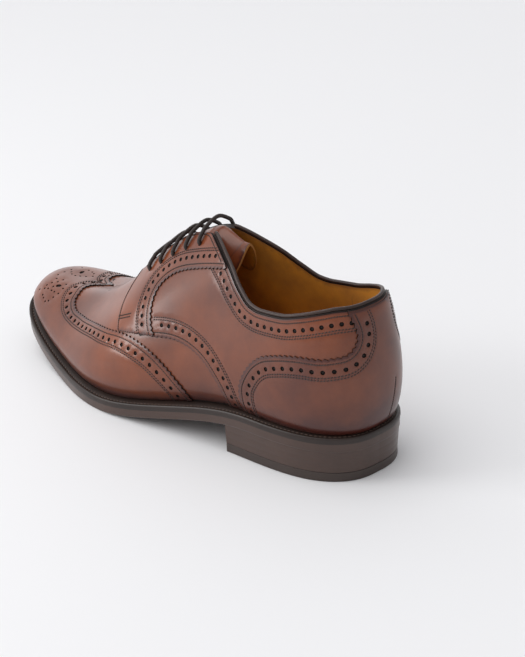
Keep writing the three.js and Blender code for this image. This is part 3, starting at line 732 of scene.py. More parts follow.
class Workshop:
    """Turns points and faces into scene objects."""

    def __init__(self, paint: Paint) -> None:
        """Keep the materials and build the shared instancing trees."""
        self.paint = paint
        half = 0.5 * MM
        self.stitch_tree = self._instance_tree(
            "stitches", "GeometryNodeMeshUVSphere", {"Segments": 6, "Rings": 4, "Radius": half})
        # Discs of painted shade for the punched holes.
        self.shade_disc_tree = self._instance_tree(
            "painted_shade_discs", "GeometryNodeMeshCylinder", {"Vertices": 10, "Radius": half, "Depth": half})

    def mesh(self, name: str, points: Array, faces: Array | list, finishes: list[Finish],
             index: Array | None = None,
             fields: dict[str, Array] | None = None) -> bpy.types.Object:
        """Make a smooth-shaded object.

        Args:
            name: Name of the object.
            points: Vertices in metres.
            faces: Vertex numbers of the faces.
            finishes: Finishes, in the order of their numbers.
            index: Number of each face's finish.
            fields: Values per vertex, by attribute name.

        Returns:
            The object, linked into the scene.
        """
        name += "_skin"
        mesh = bpy.data.meshes.new(name)
        mesh.from_pydata(np.asarray(points, float).tolist(), [], [list(map(int, f)) for f in faces])
        mesh.polygons.foreach_set("use_smooth", np.ones(len(mesh.polygons), bool))
        if index is not None:
            mesh.polygons.foreach_set("material_index", np.asarray(index, np.int32))
        for label, values in (fields or {}).items():
            layer = mesh.attributes.new(label, "FLOAT", "POINT")
            layer.data.foreach_set("value", np.asarray(values, np.float32))
        for finish in finishes:
            mesh.materials.append(self.paint.of(finish))
        mesh.validate()
        mesh.update()
        item = bpy.data.objects.new(name, mesh)
        bpy.context.scene.collection.objects.link(item)
        log.info("%s: %d faces", name, len(mesh.polygons))
        return item

    @staticmethod
    def _instance_tree(name: str, kind: str, sizes: dict[str, float]) -> bpy.types.NodeTree:
        """Build the tree that sets a shape on every point, turned by its attributes."""
        tree = bpy.data.node_groups.new(name, "GeometryNodeTree")
        for label, socket, value in (
                ("Geometry", "Geometry", None), ("Length", "Float", 1.35), ("Width", "Float", 0.55),
                ("Height", "Float", 0.4), ("Spread", "Float", 0.08), ("Seed", "Int", 7),
                ("Material", "Material", None)):
            item = tree.interface.new_socket(label, in_out="INPUT", socket_type="NodeSocket" + socket)
            if value is not None:
                item.default_value = value
        tree.interface.new_socket("Geometry", in_out="OUTPUT", socket_type="NodeSocketGeometry")
        start, end = node(tree, "NodeGroupInput").outputs, node(tree, "NodeGroupOutput")
        facing = {}
        for label, axis, pivot in (("along", "X", "AUTO"), ("normal", "Z", "X")):
            item = node(tree, "GeometryNodeInputNamedAttribute", {"Name": label}, data_type="FLOAT_VECTOR")
            facing["Vector"] = item.outputs["Attribute"]
            turn = node(tree, "FunctionNodeAlignRotationToVector", facing, axis=axis, pivot_axis=pivot)
            facing["Rotation"] = turn.outputs["Rotation"]
        size = node(tree, "ShaderNodeCombineXYZ",
                    {0: start["Length"], 1: start["Width"], 2: start["Height"]})
        low = node(tree, "ShaderNodeMath", {0: 1, 1: start["Spread"]}, operation="SUBTRACT")
        vary = node(tree, "FunctionNodeRandomValue", {2: low.outputs[0], 3: 1, "Seed": start["Seed"]})
        scale = node(tree, "ShaderNodeVectorMath", {0: size.outputs[0], "Scale": vary.outputs[1]},
                     operation="SCALE")
        spread = node(tree, "GeometryNodeInstanceOnPoints", {
            "Points": start["Geometry"], "Instance": node(tree, kind, sizes).outputs["Mesh"],
            "Rotation": facing["Rotation"], "Scale": scale.outputs[0]})
        real = node(tree, "GeometryNodeRealizeInstances", {"Geometry": spread.outputs["Instances"]})
        gloss = node(tree, "GeometryNodeSetShadeSmooth", {"Geometry": real.outputs["Geometry"]})
        paint = node(tree, "GeometryNodeSetMaterial",
                     {"Geometry": gloss.outputs["Geometry"], "Material": start["Material"]})
        tree.links.new(paint.outputs["Geometry"], end.inputs["Geometry"])
        return tree

    def scatter(self, name: str, tree: bpy.types.NodeTree, points: Array, along: Array, normal: Array,
                size: tuple[float, float, float], finish: Finish) -> bpy.types.Object:
        """Set a shape on points and bake it.

        Args:
            name: Name of the object.
            tree: Instancing tree.
            points: Points in metres.
            along: Direction of the shape's length.
            normal: Direction out of the leather.
            size: Length, width and height in millimetres.
            finish: Finish of the shapes.

        Returns:
            The baked object.
        """
        source = bpy.data.meshes.new(name + "_points")
        source.from_pydata(points.tolist(), [], [])
        for label, values in (("along", along), ("normal", normal)):
            layer = source.attributes.new(label, "FLOAT_VECTOR", "POINT")
            layer.data.foreach_set("vector", np.asarray(values, np.float32).ravel())
        item = bpy.data.objects.new(name, source)
        bpy.context.scene.collection.objects.link(item)
        modifier = item.modifiers.new("instances", "NODES")
        modifier.node_group = tree
        wanted = {"Length": size[0], "Width": size[1], "Height": size[2], "Material": self.paint.of(finish)}
        for socket in tree.interface.items_tree:
            if socket.in_out == "INPUT" and socket.name in wanted:
                modifier[socket.identifier] = wanted[socket.name]
        graph = bpy.context.evaluated_depsgraph_get()
        baked = bpy.data.meshes.new_from_object(item.evaluated_get(graph))
        item.modifiers.clear()
        item.data = baked
        log.info("%s: %d shapes, %d faces", name, len(points), len(baked.polygons))
        return item

    def tube(self, name: str, path: Array, radius: float, finish: Finish, sides: int = 12) -> bpy.types.Object:
        """Make a round cord with closed ends along points in metres."""
        tangent = unit(np.gradient(path, axis=0))
        side = unit(np.cross(tangent[0], [0, 0, 1.0] if abs(tangent[0][2]) < 0.9 else [1.0, 0, 0]))
        rings = []
        angle = np.arange(sides) * 2 * np.pi / sides
        for point, ahead in zip(path, tangent):
            side = unit(side - ahead * (side @ ahead))
            other = np.cross(ahead, side)
            rings.append(point + radius * MM * (np.outer(np.cos(angle), side) + np.outer(np.sin(angle), other)))
        count = len(path)
        points = np.vstack([*rings, path[:1], path[-1:]])
        pairs = [(i, (i + 1) % sides) for i in range(sides)]
        faces = [(low + i, low + j, low + sides + j, low + sides + i)
                 for low in range(0, (count - 1) * sides, sides) for i, j in pairs]
        for i, j in pairs:
            faces.append((count * sides, j, i))
            faces.append((count * sides + 1, (count - 1) * sides + i, (count - 1) * sides + j))
        return self.mesh(name, points, faces, [finish])


COLLAR = Curve((
    (0.00, 0.620), (1.25, 0.618), (1.80, 0.604), (2.35, 0.583), (2.85, 0.568), (3.40, 0.572),
    (3.70, 0.588), (4.10, 0.655), (4.45, 0.729), (4.90, 0.804), (5.15, 0.844), (5.45, 0.889),
    (5.90, 0.912), (6.30, 0.920), (6.65, 0.915), (7.00, 0.899), (7.35, 0.879), (7.60, 0.870)))
COLLAR_FRONT = 5.45
THROAT: Knots = ((7.60, 0.870), (7.66, 0.915), (7.69, 0.96), (7.70, 1.0))
QUARTER_LOW: Knots = (
    (4.20, 0.0), (4.25, 0.065), (4.35, 0.136), (4.55, 0.211), (4.80, 0.281), (5.10, 0.337),
    (5.45, 0.382), (5.85, 0.412), (6.15, 0.424))
FACING_LOW: Knots = ((6.15, 0.424), (6.40, 0.442), (6.80, 0.467), (7.20, 0.492))
FACING_FRONT: Knots = (
    (7.20, 0.492), (7.30, 0.543), (7.40, 0.603), (7.52, 0.683), (7.57, 0.739), (7.60, 0.809), (7.60, 0.866))
FACING_BACK: Knots = (
    (6.15, 0.424), (6.30, 0.492), (6.40, 0.558), (6.45, 0.618), (6.43, 0.673), (6.31, 0.707),
    (6.12, 0.726), (5.85, 0.734), (5.50, 0.734), (5.05, 0.734), (4.55, 0.734))
WING: Knots = (
    (5.20, 0.0), (5.25, 0.05), (5.60, 0.196), (6.00, 0.302), (6.30, 0.362), (6.75, 0.432), (7.15, 0.472),
    (7.45, 0.490), (8.25, 0.538), (9.10, 0.568), (9.70, 0.603), (10.10, 0.683), (10.45, 0.809),
    (10.90, 0.900), (11.20, 0.950), (11.05, 0.985), (10.75, 1.0))
WING_INNER: Knots = (
    (5.62, 0.0), (5.65, 0.045), (5.75, 0.101), (5.95, 0.171), (6.20, 0.241), (6.60, 0.317), (7.10, 0.382),
    (7.65, 0.417), (8.15, 0.445), (8.75, 0.457), (9.35, 0.466), (9.90, 0.503), (10.25, 0.568), (10.65, 0.678),
    (10.95, 0.779), (11.30, 0.868), (11.80, 0.930), (12.30, 0.975), (12.50, 1.0))
COUNTER_EDGE: Knots = (
    (3.75, 0.0), (3.80, 0.095), (3.80, 0.186), (3.70, 0.246), (3.55, 0.302), (3.30, 0.352), (2.95, 0.377),
    (2.35, 0.392), (1.85, 0.389), (1.50, 0.397), (1.15, 0.410), (0.90, 0.440), (0.75, 0.482), (0.75, 0.528),
    (0.85, 0.573), (0.98, 0.62))
OVALS: Knots = ((11.35, 0.698), (13.35, 0.844))
PRICKS: Knots = (
    (12.7, .734), (12.35, .698), (12.0, .704), (11.7, .714), (11.85, .774), (11.35, .779), (11.05, .714),
    (11.7, .643), (11.4, .638), (11.65, .568), (11.4, .568), (11.5, .523), (11.65, .427), (11.2, .593),
    (11.05, .608), (10.85, .628), (10.8, .553), (11.25, .452), (11.1, .442), (10.9, .432), (10.8, .477),
    (12.9, .789), (12.7, .819), (12.65, .854), (12.8, .884), (13.1, .91), (14.0, .854), (14.0, .884),
    (13.7, .92), (13.9, .814), (13.75, .724), (13.1, .749))
TIP_HOLES: Knots = ((14.9, .894), (14.8, .935), (14.8, .975))


@dataclass(frozen=True)
class Brogue:
    """Stitching, holes and teeth beside a pinked edge, in millimetres from it."""

    row: float = 2.1
    holes: float = 6.4
    radius: float = 1.3
    pitch: float = 5.9
    double: tuple[float, float] = (9.5, 10.9)
    tooth: float = 3.4
    depth: float = 1.1
    stitch: float = 1.8


@dataclass(frozen=True)
class Layers:
    """Millimetres that each leather lies outside the last."""

    lining: tuple[float, float] = (-2.0, -0.05)
    vamp: tuple[float, float] = (-0.6, 0.0)
    quarter: tuple[float, float] = (-0.3, 1.0)
    wing: tuple[float, float] = (-0.1, 1.2)
    overlay: tuple[float, float] = (0.8, 2.1)
    tongue: tuple[float, float] = (-4.15, -2.35)
    hem: float = 0.8


@dataclass
class Trim:
    """Seams, holes with their painted shade discs, and threads gathered while a piece is drawn."""

    seams: list[Array] = field(default_factory=list)
    threads: list[tuple[Array, float]] = field(default_factory=list)
    sewn: list[tuple[Array, Array, Array]] = field(default_factory=list)
    rings: list[Array] = field(default_factory=list)
    shade_discs: list[tuple[Array, float]] = field(default_factory=list)

    def sew(self, line: Array, pitch: float) -> None:
        """Add a stitched line."""
        self.seams.append(line)
        self.threads.append((line, pitch))


class Leatherwork:
    """Cuts and sews the leather pieces of the upper."""

    def __init__(self, last: Last, shop: Workshop) -> None:
        """Keep the last, the drawing board and the workshop."""
        self.last = last
        self.draw = Drawing(last)
        self.shop = shop
        self.layers = Layers()
        self.brogue = Brogue()
        self.spacing = 2.4

    def mirrored(self, line: Array) -> Array:
        """Return a line on the other side of the foot."""
        return np.c_[TURN - line[:, 0], line[:, 1]]

    @staticmethod
    def over(line: Array) -> Array:
        """Return a line that ends on the ridge, carried on down the other side."""
        return np.vstack([line, np.c_[line[:, 0], 2 - line[:, 1]][-2::-1]])

    def collar(self, start: float, end: float, hem: float = 0.0) -> Array:
        """Return the collar's edge between two stations, which may be negative, less a hem."""
        around = np.linspace(start, end, max(8, int(abs(end - start) * 16)))
        line = np.c_[around, COLLAR(np.abs(around))]
        girth = np.interp(around % TURN, self.draw.chart.at, self.draw.chart.columns[:, 4])
        line[:, 1] -= hem / girth
        return line

    def foot_line(self, start: float, end: float) -> Array:
        """Return the sole's edge between two arounds."""
        around = np.linspace(start, end, max(8, int(abs(end - start) * 12)))
        return np.c_[around, np.zeros(len(around))]

    def burnish(self, places: Array) -> Array:
        """Return how far each place is darkened: painted shade in a band along the bottom of the upper, by its
        nearness to the sole, and polish over the toe.
        """
        around, up = Last.fold(places).T
        height = up * np.interp(around, self.draw.chart.at, self.draw.chart.columns[:, 4])
        toe = smooth(1 - np.abs(around - TOE) / 2.6)
        return 0.95 * np.exp(-height / 8.0) + 0.22 * toe * np.exp(-height / 60.0)

    def panel(self, name: str, cut: Cut, layer: tuple[float, float], finishes: list[Finish],
              place=None, bevel: float = 0.25, deeper: float = 0.0) -> bpy.types.Object:
        """Build a cut piece as a closed solid.

        Args:
            name: Name of the object.
            cut: The piece on the chart.
            layer: Millimetres outside the last of its under and upper side.
            finishes: Finishes of the upper side, the edge and the under side.
            place: Laying function, or the last's own.
            bevel: How far the upper side drops at its edge.
            deeper: Darker colour all over.

        Returns:
            The object.
        """
        place = place or self.last.place
        count = len(cut.places)
        upper = place(cut.places, layer[1] - cut.groove - bevel * cut.bare)
        under = place(cut.places, layer[0])
        walls = np.c_[cut.rim[:, 1], cut.rim[:, 0], cut.rim[:, 0] + count, cut.rim[:, 1] + count]
        faces = [*cut.faces.tolist(), *(cut.faces[:, ::-1] + count).tolist(), *walls.tolist()]
        index = np.r_[np.zeros(len(cut.faces)), np.full(len(cut.faces), 2), np.ones(len(walls))]
        # Darkening per vertex: painted shade along the bottom of the upper and in the seam grooves, edge ink with
        # painted shade at the outer edges, polish at the toe, and deeper all over.
        burnish = self.burnish(cut.places) + 0.35 * (cut.groove > 0) + 0.75 * cut.ink_and_shade + deeper
        item = self.shop.mesh(name, np.vstack([upper, under]), faces, finishes, index,
                              fields={"burnish": np.r_[burnish, burnish]})
        item.data.set_sharp_from_angle(angle=math.radians(48))
        return item

    def band(self, trim: Trim, edge: Array, hand: int, low: float, pitch: float | None = None,
             skip: tuple[float, float] = (4.0, 4.0), inner: Array | None = None) -> None:
        """Add the stitching and holes beside an edge.

        Args:
            trim: Trim to add to.
            edge: The edge before pinking.
            hand: 1 where the leather lies left of the edge, -1 where it lies right.
            low: Millimetres outside the last of the painted shade discs in the holes.
            pitch: Millimetres between holes.
            skip: Millimetres without holes at the edge's ends.
            inner: Where the double row runs, the holes midway to it, or None for a row beside the edge.
        """
        size = self.brogue
        trim.sew(self.draw.beside(edge, hand * size.row), size.stitch * 0.8)
        middle = self.draw.beside(edge, hand * size.holes)
        if inner is None:
            for distance in size.double:
                trim.sew(self.draw.beside(edge, hand * distance), size.stitch)
        else:
            for distance in (-0.7, 0.7):
                trim.sew(self.draw.beside(inner, distance), size.stitch)
            row = self.draw.beside(edge, hand * size.row)
            spots = self.last.base(row)
            near = [row[((spots - spot) ** 2).sum(1).argmin()] for spot in self.last.base(inner)]
            middle = self.draw.even((inner + np.array(near)) / 2, 1.0)
        at = self.draw.length(middle)
        count = max(2, int(round((at[-1] - sum(skip)) / (pitch or size.pitch))))
        want = np.linspace(skip[0], at[-1] - skip[1], count + 1)
        centres = np.c_[np.interp(want, at, middle[:, 0]), np.interp(want, at, middle[:, 1])]
        for centre in centres:
            self.punch(trim, centre, size.radius, low)

    def punch(self, trim: Trim, centre: Array, radius: float, low: float, long: float = 1.0,
              turn: float = 0.0) -> None:
        """Add one hole with a near-black disc at its bottom: painted shade."""
        trim.rings.append(self.draw.ring(centre, radius, long, turn, 12 if radius > 0.9 else 8))
        trim.shade_discs.append((centre[None], low + 0.12))

    def clip(self, trim: Trim, outline: Array) -> None:
        """Drop holes and parts of threads that lie outside an outline or on other holes."""
        edge = self.draw.chart.flat(outline)
        rings, shade_discs, taken = [], [], np.empty((0, 3))
        # floor holds the place and height of the hole's painted shade disc.
        for ring, floor in zip(trim.rings, trim.shade_discs):
            flat = self.draw.chart.flat(floor[0])
            spot, rim = self.last.base(floor[0]), self.last.base(ring)
            radius = float(np.linalg.norm(rim - spot, axis=1).max())
            if not inside(flat, [edge])[0] or nearest(flat, edge)[0] < radius + 0.8:
                continue
            if len(taken) and np.linalg.norm(taken - spot, axis=1).min() < 2.0 * radius + 0.4:
                continue
            taken = np.vstack([taken, spot])
            rings.append(ring)
            shade_discs.append(floor)
        trim.rings, trim.shade_discs = rings, shade_discs
        threads = []
        for line, pitch in trim.threads:
            places = self.draw.even(line, pitch)
            flat = self.draw.chart.flat(places)
            inner = inside(flat, [edge]) & (nearest(flat, edge) > 0.6)
            if inner.sum() > 1:
                tangent, normal, left = self.draw.frame(places)
                threads.append((places[inner], unit(tangent + left * 0.28)[inner], normal[inner]))
        trim.sewn = threads

    def loop(self, *parts: Array) -> Array:
        """Join lines into one closed outline without doubled points."""
        line = np.vstack(parts)
        points = self.last.base(line)
        gap = np.linalg.norm(points - np.roll(points, 1, axis=0), axis=1)
        return line[gap > 0.25]


class Upper(Leatherwork):
    """The leather pieces in the order in which they are laid."""

    def __init__(self, last: Last, shop: Workshop) -> None:
        """Start with no threads."""
        super().__init__(last, shop)
        self.made: dict[str, bpy.types.Object] = {}
        self.threads: list[tuple[Array, Array, Array]] = []
        self.shade_discs: list[tuple[Array, float]] = []

    def sewn(self, name: str, trim: Trim, outline: Array, layer: tuple[float, float],
             under: Finish = CALF_EDGE, deeper: float = 0.0) -> None:
        """Cut and build a sewn piece, and keep its threads and holes.

        Args:
            name: Name of the piece.
            trim: Its seams, threads and holes.
            outline: Its closed outline.
            layer: Millimetres outside the last of its under and upper side.
            under: Finish of the under side.
            deeper: Darker colour all over.
        """
        self.clip(trim, outline)
        cut = self.draw.cut([outline], trim.rings, trim.seams, self.spacing)
        self.made[name] = self.panel(name, cut, layer, [CALF, CALF_EDGE, under], deeper=deeper)
        for places, along, normal in trim.sewn:
            self.threads.append((self.last.place(places, layer[1] + 0.03), along, normal))
        self.shade_discs += trim.shade_discs

    def build(self) -> None:
        """Build every leather piece."""
        self.lining()
        self.vamp()
        self.quarters()
        self.wing_cap()
        self.counter()
        for side in Side:
            self.facing(side)
        self.tongue()

    def throat(self) -> Array:
        """Return the throat's front end from one facing to the other."""
        return self.over(self.draw.line(THROAT, 1.2))

    def opening(self) -> Array:
        """Return the outline of the foot's opening."""
        return self.loop(self.collar(-7.6, 7.6), self.throat())

    def lining(self) -> None:
        """Build the lining: the inside of the whole upper."""
        seams = [self.draw.line(((3.0, 0.50), (3.05, 0.3), (3.1, 0.1)), 1.2, side) for side in Side]
        cut = self.draw.cut([self.foot_line(0, TURN)[:-1], self.opening()], [], seams, self.spacing * 1.3)
        self.made["lining"] = self.panel(
            "lining", cut, self.layers.lining, [CALF_EDGE, TRIM, LINING], bevel=0.0)

    def vamp(self) -> None:
        """Build the vamp, up to its tucked edge under the quarters."""
        back = self.draw.line((
            (3.85, 0.0), (3.85, 0.065), (3.95, 0.136), (4.15, 0.216), (4.40, 0.281), (4.70, 0.337),
            (5.05, 0.380), (5.60, 0.425), (6.20, 0.450), (6.70, 0.478), (6.90, 0.543), (7.00, 0.603),
            (7.10, 0.683), (7.15, 0.760), (7.25, 0.82), (7.45, 0.862), (7.60, 0.885)), 1.6)
        throat = self.draw.line(((7.60, 0.885), (7.66, 0.925), (7.69, 0.965), (7.70, 1.0)), 1.2)
        half = np.vstack([back, throat[1:]])
        outline = self.loop(self.foot_line(3.85, TURN - 3.85), self.mirrored(half), half[::-1])
        cut = self.draw.cut([outline], [], [], self.spacing)
        self.made["vamp"] = self.panel("vamp", cut, self.layers.vamp, [CALF, CALF_EDGE, LINING])

    def quarters(self) -> None:
        """Build both quarters as one piece round the heel."""
        size, trim = self.brogue, Trim()
        low = self.draw.line(QUARTER_LOW, 1.0)
        front = self.draw.line((
            (6.15, 0.424), (6.35, 0.445), (6.75, 0.470), (7.05, 0.495), (7.20, 0.55), (7.30, 0.61),
            (7.40, 0.69), (7.44, 0.75), (7.46, 0.82), (7.46, 0.868)), 1.6)
        bottom = self.loop(self.foot_line(-4.2, 4.2))
        pinked = self.draw.pinked(low, size.tooth, -size.depth * 0.7)
        edge = self.collar(7.46, -7.46, self.layers.hem)
        half = np.vstack([pinked, front[1:]])
        outline = self.loop(bottom, half, edge, self.mirrored(half)[::-1])
        for side in Side:
            line = low if side is Side.LATERAL else self.mirrored(low)
            self.band(trim, line, -side.value, 0.0, 5.9, (3.0, 6.0))
        top = self.collar(5.6, -5.6, self.layers.hem)
        self.band(trim, top, -1, 0.0, 5.4, (8.0, 8.0))
        self.sewn("quarters", trim, outline, self.layers.quarter, LINING)

    def wing_cap(self) -> None:
        """Build the wing tip with its medallion."""
        size, trim = self.brogue, Trim()
        whole = self.over(self.draw.line(WING, 0.9))
        pinked = self.draw.pinked(whole, size.tooth, size.depth)
        outline = self.loop(self.foot_line(5.2, TURN - 5.2), pinked[::-1])
        self.band(trim, whole, 1, 0.0, 6.2, (3.0, 3.0), self.over(self.draw.line(WING_INNER, 1.2)))
        for centre in OVALS:
            self.punch(trim, np.array(centre), 1.3, 0.0, 1.7, 0.6)
        for centre in (*PRICKS, *TIP_HOLES):
            self.punch(trim, np.array(centre), 0.72, 0.0)
        self.sewn("wing_cap", trim, outline, self.layers.wing)

    @staticmethod
    def medial(line: Array, turn: float = 1.1) -> Array:
        """Return the counter's edge on the medial side, whose arm lies farther round by turn."""
        front = COUNTER_EDGE[0][0]
        station = turn + line[:, 0] * (front - turn) / front
        return np.c_[TURN - station, np.minimum(line[:, 1], COLLAR(station) - 0.012)]

    def counter(self) -> None:
        """Build the heel counter, up to the collar."""
        size, trim = self.brogue, Trim()
        half = self.draw.line(COUNTER_EDGE, 1.0)
        pinked = self.draw.pinked(half, size.tooth, -size.depth)
        end = self.medial(half[-1:])[0, 0] - TURN
        top = self.collar(half[-1, 0], end, self.layers.hem * 2)
        outline = self.loop(self.foot_line(-3.75, 3.75), pinked, top, self.medial(pinked)[::-1])
        for side in Side:
            line = half if side is Side.LATERAL else self.medial(half)
            self.band(trim, line, -side.value, self.layers.quarter[1], 6.2, (3.0, 12.0))
        dart = self.draw.line(((-0.45, 0.025), (-0.52, 0.12), (-0.62, 0.235)), 1.0)
        trim.sew(dart, size.stitch * 0.7)
        self.sewn("counter", trim, outline, self.layers.overlay, deeper=0.3)

    def facing(self, side: Side) -> None:
        """Build the eyelet facing of one side."""
        size, trim, hand = self.brogue, Trim(), side.value
        turned = (lambda line: line) if side is Side.LATERAL else self.mirrored
        low = self.draw.line(FACING_LOW, 1.0)
        front = self.draw.line(FACING_FRONT, 1.2)
        back = self.draw.line(FACING_BACK, 1.0)
        top = self.collar(7.6, 4.62, self.layers.hem)
        pinked = self.draw.pinked(back, size.tooth, size.depth)
        gimped = self.draw.pinked(low, size.tooth * 0.6, -size.depth * 0.4)
        outline = turned(self.loop(gimped, front[1:], top, pinked[::-1]))
        self.band(trim, turned(back), hand, self.layers.quarter[1], 5.4, (4.0, 6.0))
        trim.sew(self.draw.beside(turned(low), hand * 1.8), size.stitch * 0.8)
        trim.sew(self.draw.beside(turned(front), -hand * 1.5), size.stitch * 0.7)
        edge = self.draw.beside(turned(self.collar(7.4, 4.7, self.layers.hem)), -hand * 1.6)
        trim.sew(edge, size.stitch * 0.7)
        for up in (0.555, 0.572):
            tack = self.draw.line(((7.31, up), (6.95, up)), 1.0, side)
            trim.sew(tack, size.stitch * 0.6)
        for eyelet in Laces.EYELETS:
            self.punch(trim, turned(np.array([eyelet]))[0], 1.5, self.layers.quarter[1])
        self.sewn(f"facing_{side.name.lower()}", trim, outline, self.layers.overlay)

    def tongue(self) -> None:
        """Build the tongue, whose tip drops into the shoe and draws together."""
        tip, tip_round, root, side_up, drop_from, drop, pinch = 4.72, 0.75, 8.3, 0.71, 5.7, 13.0, 0.35

        def place(places: Array, out: float | Array) -> Array:
            """Lay places of the tongue."""
            station = np.minimum(places[:, 0] % TURN, TURN - places[:, 0] % TURN)
            share = smooth((drop_from - station) / (drop_from - tip))
            points = self.last.place(places, out)
            crest = self.last.place(np.c_[places[:, 0], np.ones(len(places))], out)
            points[:, 0] -= (points[:, 0] - crest[:, 0]) * pinch * share
            points[:, 2] -= drop * MM * share
            return points

        across = np.sin(np.linspace(0, 1, 40) * np.pi / 2)[::-1]
        station = tip + tip_round * (1 - np.sqrt(np.maximum(0, 1 - across**4)))
        end = np.c_[station, 1 - across * (1 - side_up)]
        flank = np.c_[np.linspace(root, station[0], 60), np.full(60, side_up)]
        half = np.vstack([flank, end[1:]])
        root_line = np.c_[np.full(24, root), np.linspace(side_up, 1, 24)]
        outline = self.loop(self.draw.even(self.over(half), 1.2), self.over(root_line)[::-1][1:-1])
        rim = self.draw.line(((6.4, 0.725), (5.8, 0.73), (5.4, 0.76), (5.1, 0.82), (4.93, 0.91), (4.88, 1.0)), 1.0)
        cut = self.draw.cut([outline], [], [self.over(rim)], self.spacing)
        self.made["tongue"] = self.panel(
            "tongue", cut, self.layers.tongue, [CALF, LINING, LINING], place=place)


class Laces:
    """Five bars over the throat, run through their eyelets."""

    EYELETS = ((5.6, 0.836), (5.98, 0.828), (6.34, 0.819), (6.7, 0.812), (7.05, 0.806))
    RISE = ((-0.002, 0.4), (0.0, 1.9), (0.006, 3.1), (0.022, 3.7), (0.050, 3.8), (0.080, 3.6))
    CREST = 3.0

    def __init__(self, last: Last, shop: Workshop, diameter: float = 2.4) -> None:
        """Keep the last, the workshop and the thickness."""
        self.last, self.shop, self.diameter = last, shop, diameter

    def build(self) -> dict[str, bpy.types.Object]:
        """Build the bars."""
        bars = {}
        past, out = np.array(self.RISE).T
        for number, (station, eyelet) in enumerate(self.EYELETS, 1):
            up = past + eyelet
            near = self.last.place(np.c_[np.full(len(up), station), up], out)
            far = self.last.place(np.c_[np.full(len(up), TURN - station), up], out)
            crest = self.last.place(np.array([[station, 1.0]]), self.CREST)
            path = self.spline(np.vstack([near, crest, far[::-1]]), 6)
            name = f"lace_bar_{number}"
            bars[name] = self.shop.tube(name, path, self.diameter / 2, CORD)
        return bars

    @staticmethod
    def spline(points: Array, steps: int) -> Array:
        """Return a smooth path through points."""
        padded = np.vstack([2 * points[0] - points[1], points, 2 * points[-1] - points[-2]])
        t = np.linspace(0, 1, steps + 1)[:-1, None]
        rows = []
        for a, b, c, d in zip(padded, padded[1:], padded[2:], padded[3:]):
            rows.append(0.5 * (2 * b + (c - a) * t + (2 * a - 5 * b + 4 * c - d) * t**2
                               + (3 * b - 3 * c + d - a) * t**3))
        return np.vstack([*rows, points[-1:]])


@dataclass(frozen=True)
class BottomSizes:
    """Sizes of the sole, welt and heel."""

    outsole: float = 5.0
    welt: float = 3.4
    overlap: float = 5.0
    ledge: float = 7.2
    gap: float = 0.3
    edge_round: float = 0.8
    heel_length: float = 81.0
    heel_taper: float = 0.5
    top_piece: float = 5.5
    insole: float = 3.0
    lifts: int = 3
    lift_line: float = 0.04


